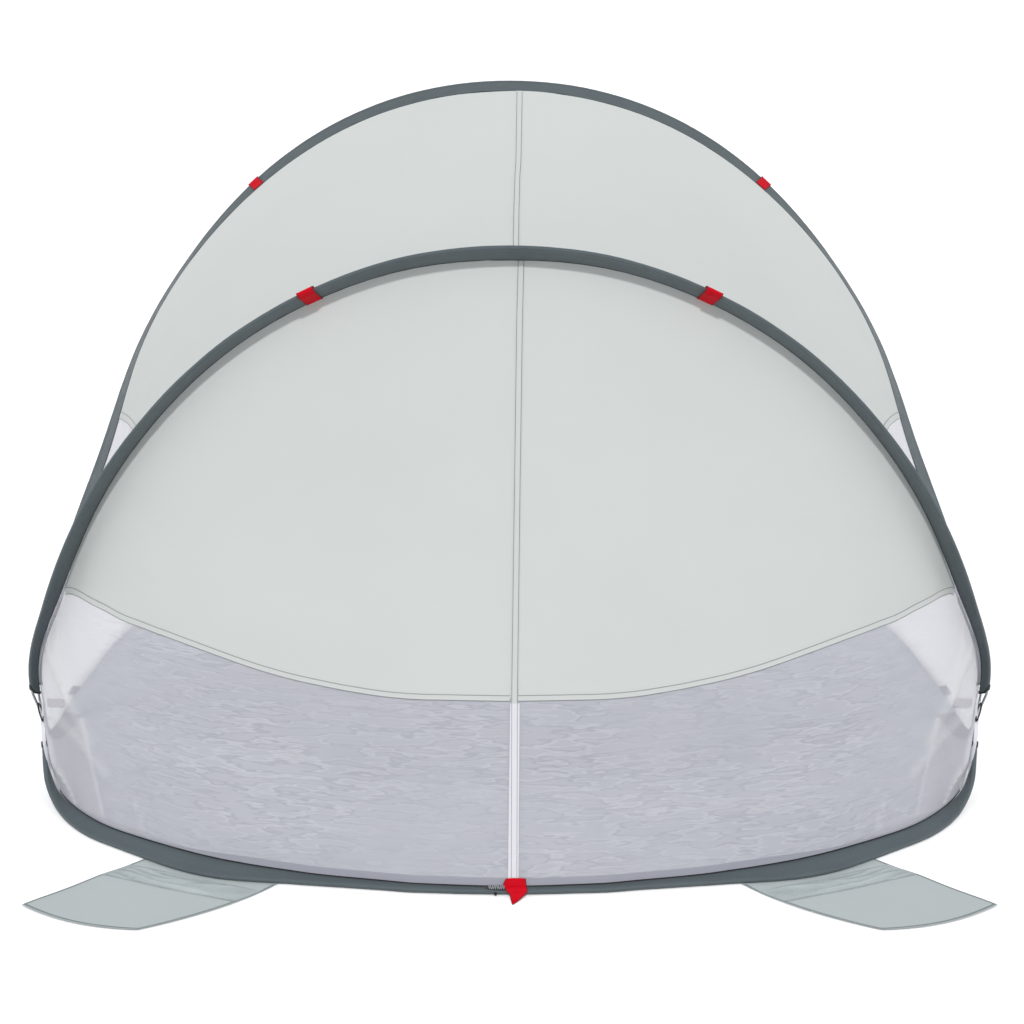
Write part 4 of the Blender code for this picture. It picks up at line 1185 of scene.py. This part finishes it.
seam_stop = seam_share(0.0) + 0.008
roof_lines = (
    (0.0, 0.0062, 0.0158), (0.30, 0.0082, 0.0180), (0.52, 0.0108, 0.0205), (0.60, 0.0128, 0.0230),
    (1.0, 0.0157, 0.0266),
)
back_lines = (
    (0.0, 0.0158, 0.0258), (0.09, 0.0130, 0.0233), (0.35, 0.0090, 0.0192), (0.66, 0.0042, 0.0148),
    (0.70, 0.0038, 0.0144),
)
net_lines = ((0.70, 0.0038, 0.0144), (1.0, 0.0030, 0.0132))
net_edges = ((0.70, 0.0010, 0.0186), (1.0, -0.0034, 0.0162))
for name, node, surface, stops, edges, sewn_lines, look, thread in (
    ("roof", "roof", roof_points_at, (0.001, 0.999, 60), widened(roof_lines), roof_lines, "tape", "grey"),
    ("back", "back", back_points_at, (0.001, seam_stop, 60), widened(back_lines), back_lines, "tape", "grey"),
    ("net", "mesh", back_points_at, (seam_stop, 0.999, 40), net_edges, net_lines, "white_tape", "mid"),
):
    names = (name + "_middle_tape", node + "_centre_tape")
    centre_strip(*names, surface, np.linspace(*stops), edges, sewn_lines, look, "thread_" + thread)


# Floor and gussets


def last_flat_station(arc):
    """The last station at which a floor edge still lies on the ground."""
    flat = [i for i in range(half_stations + 1) if arc.frames[i][0][2] < arc.frames[0][0][2] + fit_gap]
    return float(flat[-1])


floor_rest = panel_thickness / 2
floor_rows = 300
turn_rows = 5


def floor_column(part, back_corner, front_corner):
    """Points of the floor from its back edge to its front edge, at a share of the way to its side."""
    run = floor_rise_run * (1 - floor_rise_fade * part ** 4)
    place = (back_corner - 0.6) * part
    start = back_floor_edge(place)
    foot = back.from_tail(place, -seam_gap - run, -join_offset)
    foot[2] = floor_rest
    place = (front_corner - 0.6) * part
    over_tail = front.from_tail(place, -seam_gap * 2)
    over_tail[2] = front_lift + sleeve_tail_half + fit_gap + panel_thickness / 2
    over_rod = front.from_rod(place)
    over_rod[2] = front_lift + sleeve_outer_radius + fit_gap + panel_thickness / 2
    front_foot = front.from_tail(place, -seam_gap - run)
    front_foot[2] = floor_rest
    knots = [start, foot, front_foot, over_tail, over_rod]
    points = []
    for a, b, count in zip(knots[:-1], knots[1:], (turn_rows, floor_rows, turn_rows, turn_rows)):
        points += [a + (b - a) * k / count for k in range(count)]
    return np.array(points + [knots[-1]])


def make_floor(back_corner, front_corner):
    """The floor cloth with its long and fine folds and the ridge behind the peg tab."""
    shares = [i / half_stations for i in range(half_stations + 1)]
    grid = both_sides([floor_column(share, back_corner, front_corner) for share in shares])
    spots = grid * np.array((1.0, 1.0, 0.0))
    spots[:, :, 1] += 0.012 * wave(spots, (4.0, 4.0, 1.0), 2.5)
    long_folds = 1 - np.abs(wave(spots, (4.2, 27.0, 1.0), 1.5))
    fine_folds = 1 - np.abs(wave(spots, (7.5, 55.0, 1.0), 8.5))
    patches = smooth(wave(spots, (3.0, 7.0, 1.0), 6.5), -0.35, 0.35)
    bulge = 0.5 + 0.5 * wave(spots, (2.2, 5.0, 1.0), 4.5)
    long_rise = 0.0048 * np.clip(long_folds, 0, 1) ** 4 * (0.35 + 0.65 * patches)
    rise = long_rise + 0.0026 * np.clip(fine_folds, 0, 1) ** 4 + 0.004 * bulge
    beside = np.abs(spots[:, :, 0] + 0.002)
    ridge_line = 0.047 + 0.35 * beside ** 1.6
    rise += 0.006 * np.exp(-((spots[:, :, 1] - ridge_line) / 0.006) ** 2) * smooth(0.12 - beside, 0.0, 0.04)
    rows = np.arange(grid.shape[1])
    calm = smooth(np.minimum(rows - turn_rows, floor_rows + turn_rows - rows), 0, 10)[None, :]
    calm = calm * smooth(edge_steps(grid.shape[0]), 0, 5)[:, None]
    grid[:, :, 2] += rise * calm
    fixed(sheet("groundsheet", grid, heavy_thickness, "ground"), "floor_sheet")


def make_gussets(back_corner, front_corner):
    """Net between the floor's edges below each crossing."""
    steps = 12
    rows = []
    for share in np.linspace(0, 1, 30):
        near = back.from_tail(back_corner + (panel_end - back_corner) * share, -seam_gap, -join_offset)
        far = front.from_tail(front_corner + (panel_end - front_corner) * share, -seam_gap)
        rows.append([near + (far - near) * k / steps for k in range(steps + 1)])
    rows = np.array(rows)
    rows[0, 1:-1, 2] = np.maximum(rows[0, 1:-1, 2], floor_rest + fit_gap)
    inward = np.array((1.0, 0.0, 0.0)) * (0.004 * wave(rows, (9, 9, 9), 17.0) * border(rows))[:, :, None]
    for side, turn in turns:
        gusset = sheet("side_net_" + side, turn(rows + inward), net_thickness, "net")
        fixed(gusset, "side_gusset_" + side)


def make_patch(side, turn):
    """Patch sewn to the net beside a crossing."""
    lift = 0.0035
    columns = []
    ends = [low.station_at(row[0]) for row in patch_end_shares]
    for place in np.linspace(*ends, 12):
        top, bottom = (read_off(patch_end_shares, low.share_at(place), k) for k in (1, 2))
        columns.append([raised(back_points_at, place, down, lift) for down in np.linspace(top, bottom, 5)])
    patch = sheet("net_patch_" + side, turn(np.array(columns)), heavy_thickness, "patch")
    fixed(patch, "tie_patch_" + side)


corners = [last_flat_station(arc) for arc in (back, front)]
make_floor(*corners)
make_gussets(*corners)
for side, turn in turns:
    make_patch(side, turn)


# Sand flaps

flap_turn = math.radians(18.9)
flap_along = np.array((-math.cos(flap_turn), math.sin(flap_turn), 0.0))
flap_outward = np.array((-math.sin(flap_turn), -math.cos(flap_turn), 0.0))
flap_centre = np.array((-0.5615, 0.058, panel_thickness / 2))
flap_inner_width = 0.272
flap_outer_width = 0.2375
flap_reach = 0.2185
flap_skew = 0.1615
flap_side_bow = 0.020
flap_end_bulge = 0.018
flap_hinge_out = 0.0315
flap_bend_half = 0.004
flap_stitch_out = 0.083
flap_swell = 0.004
flap_band_lift = 0.0011
flap_ridge = 0.0030
flap_hem_lift = 0.0007
flap_hem_crown = 0.0009


def flap_point(out, share):
    """A point of a sand flap at a distance from its inner edge and a share of its width."""
    part = out / flap_reach
    width = flap_inner_width + (flap_outer_width - flap_inner_width) * part
    bow = flap_side_bow * 4 * part * (1 - part)
    along = flap_skew * part + width * (share - 0.5) - bow * (1 - share)
    bulge = flap_end_bulge * 4 * share * (1 - share) * part * part
    return flap_centre + flap_along * along + flap_outward * (out + bulge)


def lie(points, lift):
    """Raises points of a flap that lie on the ground, with soft waves beyond the hinge."""
    points = np.array(points, float)
    beyond = smooth((points - flap_centre) @ flap_outward, flap_hinge_out + 0.008, flap_hinge_out + 0.06)
    swell = 0.5 + 0.5 * wave(points, (9.0, 9.0, 9.0), 13.0)
    points[..., 2] += lift + flap_swell * swell * beyond
    return points


def bend_flap(thing, turn):
    """Bakes a piece of a flap into its place; the ends of the flap's hinge line are worked out but not used."""
    reaches = (flap_hinge_out - flap_bend_half, flap_hinge_out + flap_bend_half)
    start, end = (tuple(turn(flap_centre + flap_outward * reach) + frame_shift) for reach in reaches)
    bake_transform(thing)
    return thing


def make_flap(side, turn):
    """One sand flap with its glossy band, its hem and its row of stitches."""
    shares = np.linspace(0, 1, 41)
    grid = lie([[flap_point(out, share) for share in shares] for out in np.linspace(0, flap_reach, 56)], 0.0)
    flap = bend_flap(sheet("flap_" + side, turn(grid), heavy_thickness, "flap"), turn)
    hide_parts("flap_strip_" + side, "sand_flap_" + side)

    shares = np.linspace(0.012, 0.988, 61)
    outs = np.linspace(flap_hinge_out + 0.001, flap_stitch_out, 40)
    grid = lie([[flap_point(out, share) for share in shares] for out in outs], flap_band_lift)
    spots = np.array([[(out, 0.27 * share, 0.0) for share in shares] for out in outs])
    spots[:, :, 0] += 0.010 * wave(spots, (8, 14, 1), 3.5)
    ridges = 1 - np.abs(wave(spots, (48, 11, 1), 23.0)) * 1.8
    calm = smooth(edge_steps(len(outs)), 0, 5)[:, None] * smooth(edge_steps(len(shares)), 0, 6)[None, :]
    grid[:, :, 2] += flap_ridge * np.clip(ridges, 0, 1) ** 2 * calm
    bend_flap(sheet("flap_band_" + side, turn(grid), net_thickness, "flap_gloss"), turn)

    far_out = flap_reach * 0.99
    outline = [flap_point(out, 0.006) for out in np.linspace(0.004, far_out, 60)]
    outline += [flap_point(far_out, share) for share in np.linspace(0.02, 0.98, 50)]
    outline += [flap_point(out, 0.994) for out in np.linspace(far_out, 0.004, 60)]
    outline = np.array(outline)
    inner = outline + (flap_centre + flap_outward * 0.11 + flap_along * 0.08 - outline) * 0.022
    rows = [lie(outline, flap_hem_lift), lie((outline + inner) / 2, flap_hem_crown), lie(inner, flap_hem_lift)]
    hem = sheet("flap_hem_" + side, turn(np.array(rows)), net_thickness, "flap_hem")
    bend_flap(hem, turn)
    line = [flap_point(flap_stitch_out - 0.002, share) for share in np.linspace(0.01, 0.99, 60)]
    sewn = stitches("flap_stitches_" + side, [turn(lie(line, flap_hem_crown))], [np.array((0, 0, 1.0))])
    bend_flap(sewn, turn)


for side, turn in turns:
    make_flap(side, turn)


# Webbing


def path_smooth(points, steps):
    """A smooth open path through points."""
    points = np.asarray(points, float)
    ends = np.concatenate([[2 * points[0] - points[1]], points, [2 * points[-1] - points[-2]]])
    made = []
    for i in range(1, len(ends) - 2):
        for k in range(steps):
            t = k / steps
            a, b, c, d = ends[i - 1:i + 3]
            square = (2 * a - 5 * b + 4 * c - d) * t * t
            made.append(0.5 * (2 * b + (c - a) * t + square + (3 * b - a - 3 * c + d) * t ** 3))
    return np.array(made + [points[-1]])


def fold_points(arc, place, half, tip, steps):
    """Points of webbing folded over a sleeve, from one side over its tip to the other."""
    outline = [(out, -by) for out, by in half] + [(tip, 0.0)] + half[::-1]
    return [arc.from_rod(place, out, by) for out, by in path_smooth(outline, steps)]


low_guy_share = 0.252
tall_guy_share = 0.335
tall_guy_width = 0.024
guy_room = 0.0016
eye_reach = 0.009
eye_round = 0.0035
peg_loop_share = 0.795
peg_loop_room = 0.0006
peg_loop_reach = 0.017


def make_guy_loop(name, arc, share, width):
    """Red webbing folded over a sleeve, with an eye that stands out beyond the rod."""
    centre = arc.length * share
    grow = sleeve_outer_radius + guy_room
    tail = sleeve_tail_half + guy_room
    reach = sleeve_outer_radius + eye_reach
    grid = []
    for distance in np.linspace(centre - width / 2, centre + width / 2, 12):
        place = arc.station_after(distance)
        depth = arc.depth(place) + fit_gap
        half = [
            (-depth, tail), (-depth * 0.6, tail + webbing_thickness), (-depth * 0.25, grow * 0.82),
            (0.0, grow), (reach * 0.55, eye_round * 1.15), (reach - eye_round * 0.6, eye_round * 0.8),
        ]
        grid.append(fold_points(arc, place, half, reach, 4))
    grid = np.array(grid)
    place = arc.station_after(centre)
    up = arc.from_rod(place, 0.0, 1.0) - arc.from_rod(place)
    for side, turn in turns:
        loop = sheet(f"{name}_webbing_{side}", turn(grid), webbing_thickness, "webbing")
        fixed(loop, f"{name}_{side}")
        sewn = [turn(grid[1:-1, -1 - j]) for j in (4, 9)]
        ups = [turn(up) * 2.4] * 2
        fixed(stitches(f"{name}_stitches_{side}", sewn, ups, "thread_red", 0.003))
        # The dark red tubes along both edges of the loop are painted shade on its edges.
        for end, k in (("low", 0), ("high", -1)):
            rim = turn(grid[k])
            fixed(tube(f"{name}_selvedge_{end}_{side}", rim, 0.0011, 8, "webbing_edge"))


def make_peg_loop(side, turn):
    """Dark peg loop sewn to the front edge's sleeve."""
    middle = front.length * peg_loop_share
    start = sleeve_outer_radius + fit_gap + peg_loop_room
    end = start + peg_loop_reach
    half = [(start, 0.002), (end - 0.002, 0.002), (end - 0.0006, 0.0014)]
    distances = np.linspace(middle - webbing_width / 2, middle + webbing_width / 2, 10)
    rows = [fold_points(front, front.station_after(distance), half, end, 3) for distance in distances]
    grid = turn(np.array(rows))
    loop = sheet("front_peg_webbing_" + side, grid, webbing_thickness, "sleeve")
    fixed(loop, "front_peg_loop_" + side)


make_guy_loop("low_guy_loop", low, low_guy_share, webbing_width)
make_guy_loop("tall_guy_loop", tall, tall_guy_share, tall_guy_width)
for side, turn in turns:
    make_peg_loop(side, turn)

# The peg tab: its sides along its length, its way round the sleeve and its way down to the ground
tab_outline = (
    (0.0, -0.0160, 0.0190), (0.009, -0.0212, 0.0200), (0.016, -0.0200, 0.0212),
    (0.026, -0.0150, 0.0222), (0.031, -0.0095, 0.0190), (0.055, -0.0050, -0.0034),
)
tab_laps = (0.016, 0.012, 0.008, 0.004, 0.0004)
tab_lap_lift = 0.0042
tab_profile = ((-0.003, 0.0066), (0.003, 0.0052), (0.0060, 0.0022))
tab_descent = ((0.005, 0.75), (0.0105, 0.40), (0.015, 0.16), (0.020, 0.04), (0.024, 0.06), (0.028, 0.0))
tab_ground_lift = 0.0009
tab_crown = 0.0009
tab_rim_radius = 0.0009


def make_peg_tab():
    """Peg tab over the middle of the back edge, folded to a point."""
    tab_low, tab_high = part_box("peg_tab")
    middle_x = (tab_low.x + tab_high.x) / 2
    place = back.station_after(middle_x)
    over_net = drop_length(place)
    folded = [raised(back_points_at, place, 1 - lap / over_net, tab_lap_lift) for lap in tab_laps]
    folded += [back.from_rod(place, out, by) for out, by in tab_profile]
    foot = folded[-1]
    for reach, height in tab_descent:
        z = tab_ground_lift + (foot[2] - tab_ground_lift) * height
        folded.append(np.array((foot[0], foot[1] - reach, z)))
    profile = path_smooth(folded, 4)
    run = run_along(profile[:, 1:])
    run *= tab_outline[-1][0] / run[-1]
    left, right = (read_off(tab_outline, run, k) for k in (1, 2))
    rows = []
    for share in np.linspace(0, 1, 9):
        line = profile.copy()
        line[:, 0] = middle_x + left + (right - left) * share
        line[:, 2] += tab_crown * math.sin(math.pi * share)
        rows.append(line)
    tab = sheet("peg_tab_webbing", np.array(rows), tab_thickness, "webbing")
    # The dark red tubes along the tab's sides are painted shade on its edges.
    for side, rim in (("left", rows[0]), ("right", rows[-1])):
        edge = tube("peg_tab_selvedge_" + side, rim, tab_rim_radius, 8, "webbing_edge")
        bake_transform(edge)
    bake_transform(tab)
    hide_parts("peg_tab_strap", "peg_tab")


tie_steps = 48
tie_half_width = 0.0038
tie_top = np.array((0.0005, -0.0045, 0.006))
tie_drop = np.array((0.0134, -0.0315, -0.0233))
tie_radius = 0.0014


def make_tie(side, turn):
    """Elastic loop round the crossing rods."""
    points = []
    for k in range(tie_steps):
        a = 2 * math.pi * (k + 0.5) / tie_steps
        down = 0.5 - 0.5 * math.cos(a)
        x = -crossing_half_width + tie_top[0] + tie_drop[0] * down
        x += tie_half_width * math.sin(a) * (1 - 0.35 * down)
        y = crossing_depth + tie_top[1] + tie_drop[1] * down
        points.append((x, y, crossing_height + tie_top[2] + tie_drop[2] * down))
    path = turn(points)
    tie = tube("crossing_elastic_" + side, path, tie_radius, 10, "elastic", closed=True)
    fixed(tie, "crossing_tie_" + side)


lining_reaches = (
    (-0.044, -0.009, 0.0), (-0.038, -0.012, 0.002), (-0.024, -0.014, 0.003),
    (-0.018, -0.022, 0.0035), (-0.011, -0.034, 0.0035), (-0.005, -0.044, 0.0035),
)
thread_start = -0.0395
thread_step = 0.0019
knot_x = -0.0268
knot_size = 0.0018


def make_closure():
    """Dark lining, thread and knot that close the sleeve beside the peg tab."""
    rows = []
    for x, near, far in lining_reaches:
        place = back.station_after(abs(x))
        points = []
        for out in np.linspace(near, far, 6):
            height = sleeve_outer_radius + 0.0009 if out > -0.006 else max(0.0062, mesh_rise + 0.0012)
            points.append(back.from_rod(place, out, height * (1 - 0.25 * smooth(out, -0.001, 0.0035))))
        points = np.array(points)
        points[:, 0] = x
        rows.append(points)
    fixed(sheet("closure_lining", np.array(rows), cloth_thickness, "closure"))
    points = []
    for k in range(17):
        x = thread_start + thread_step * k
        out, rise = (0.0020, 0.0064) if k % 2 else (-0.0085, 0.0078)
        point = back.from_rod(back.station_after(abs(x)), out, rise)
        y = point[1] + 0.0008 * math.sin(k * 1.7)
        points.append((x + 0.0007 * math.sin(k * 2.3), y, point[2] + 0.0004))
    fixed(tube("closure_thread", path_smooth(points, 5), 0.0007, 6, "thread_pale"))
    spot = back.from_rod(back.station_after(-knot_x), 0.0066, -0.0006)
    points = []
    for k in range(24):
        a = 2 * math.pi * k / 24
        y = spot[1] + 0.0012 * math.sin(2 * a)
        points.append((knot_x + knot_size * math.cos(a), y, spot[2] + knot_size * math.sin(a)))
    fixed(tube("closure_knot", points, 0.0013, 8, "elastic", closed=True))


make_peg_tab()
for side, turn in turns:
    make_tie(side, turn)
make_closure()


# Lists of the trims that go with each sheet


def middle_trims(name, side):
    """The tape over a joint in the middle goes with the panel's right half."""
    return [f"{name}_middle_tape", f"{name}_middle_tape_stitches"] if side == "right" else []


for side, turn in turns:
    trims = [f"back_curved_tape_{side}", f"back_curved_stitches_{side}"] + middle_trims("back", side)
    trims = [f"net_hem_{side}", f"net_dark_edge_{side}", f"net_side_hem_{side}", f"net_side_stitches_{side}"]
    trims += middle_trims("net", side)
    trims = [f"roof_side_tape_{side}", f"roof_side_stitches_{side}"] + middle_trims("roof", side)
    trims = [f"flap_band_{side}", f"flap_hem_{side}", f"flap_stitches_{side}"]
    for arch, width in (("low", webbing_width), ("tall", tall_guy_width)):
        trims = [f"{arch}_guy_loop_{trim}_{side}" for trim in ("stitches", "selvedge_low", "selvedge_high")]
        name = f"{arch}_guy_loop_webbing_{side}"
trims = ["peg_tab_selvedge_left", "peg_tab_selvedge_right"]
for name, length, trims in (
    ("low_arch", 2.95, ["low_arch_seam_and_shade_line"]),
    ("tall_arch", 3.50, ["tall_arch_seam_and_shade_line"]),
    ("back_edge", 2.23, ["closure_lining", "closure_thread", "closure_knot"]),
    ("front_edge", 3.19, []),
):
    trims = trims + [f"{name}_left_bound_end", f"{name}_right_bound_end"]


# Stage, light and camera


stage_half_size = 40.0
stage_drop = 0.0005
stage_tone = 0.60
stage_seen_tone = 1.16
world_colour = (0.525, 0.527, 0.538)
lamp_rows = (
    ("key", (0.0, -0.600, 0.800), 3.5, 1.62),
    ("left", (-0.98, -0.10, 0.17), 60.0, 0.76),
    ("right", (0.98, -0.10, 0.17), 60.0, 0.76),
)
lamp_distance = 5.0
photo_pixels = 1024
camera_shift_pixels = 2.3
camera_lens = 74.75
camera_place = (0.0, -3.3353, 2.2526)
camera_turn = 66.0


def tone_by_ray(tree, plain, seen, rays, target):
    """Gives a socket one colour for the light on the object and another where the rays named see it."""
    light_path = tree.nodes.new("ShaderNodeLightPath")
    sources = [light_path.outputs[ray] for ray in rays]
    if len(sources) > 1:
        either = tree.nodes.new("ShaderNodeMath")
        either.operation = 'MAXIMUM'
        for i, source in enumerate(sources):
            tree.links.new(source, either.inputs[i])
        sources = [either.outputs[0]]
    mix = tree.nodes.new("ShaderNodeMix")
    mix.data_type = 'RGBA'
    mix.inputs[6].default_value = (*plain, 1.0)
    mix.inputs[7].default_value = (*seen, 1.0)
    tree.links.new(sources[0], mix.inputs["Factor"])
    tree.links.new(mix.outputs[2], target)


def make_stage():
    """A plain pale floor and a pale world."""
    mesh = bpy.data.meshes.new("studio_floor")
    corners = [(x * stage_half_size, y * stage_half_size, 0) for x, y in ((-1, -1), (1, -1), (1, 1), (-1, 1))]
    mesh.from_pydata(corners, [], [(0, 1, 2, 3)])
    ground = bpy.data.objects.new("studio_floor", mesh)
    ground.location.z = cad_low.z - stage_drop
    bpy.context.scene.collection.objects.link(ground)
    look = bpy.data.materials.new("studio_floor")
    look.use_nodes = True
    shader = look.node_tree.nodes["Principled BSDF"]
    shader.inputs["Roughness"].default_value = 1.0
    shader.inputs["Specular IOR Level"].default_value = 0.0
    rays = ("Is Camera Ray", "Is Glossy Ray")
    tone_by_ray(look.node_tree, [stage_tone] * 3, [stage_seen_tone] * 3, rays, shader.inputs["Base Color"])
    mesh.materials.append(look)

    world = bpy.data.worlds.new("studio")
    bpy.context.scene.world = world
    world.use_nodes = True
    background = world.node_tree.nodes["Background"]
    tone_by_ray(world.node_tree, world_colour, (1.0, 1.0, 1.0), ("Is Camera Ray",), background.inputs["Color"])
    background.inputs["Strength"].default_value = 1.0


def make_lamps_and_camera():
    """Soft studio light, and the camera that was fitted to the photograph."""
    for name, away, angle, power in lamp_rows:
        data = bpy.data.lights.new(name, 'SUN')
        data.angle = math.radians(angle)
        data.energy = power
        lamp = bpy.data.objects.new(name, data)
        lamp.location = Vector(away) * lamp_distance
        lamp.rotation_euler = Vector(away).to_track_quat('Z', 'Y').to_euler()
        bpy.context.scene.collection.objects.link(lamp)

    camera = bpy.data.cameras.new("camera")
    camera.lens = camera_lens
    camera.sensor_width = 36.0
    camera.shift_x = camera_shift_pixels / photo_pixels
    camera.clip_end = 100.0
    eye = bpy.data.objects.new("camera", camera)
    eye.location = Vector(camera_place) + Vector(frame_shift)
    eye.rotation_euler = (math.radians(camera_turn), 0.0, 0.0)
    bpy.context.scene.collection.objects.link(eye)
    bpy.context.scene.camera = eye
    bpy.context.scene.view_settings.view_transform = 'Standard'


make_stage()
make_lamps_and_camera()
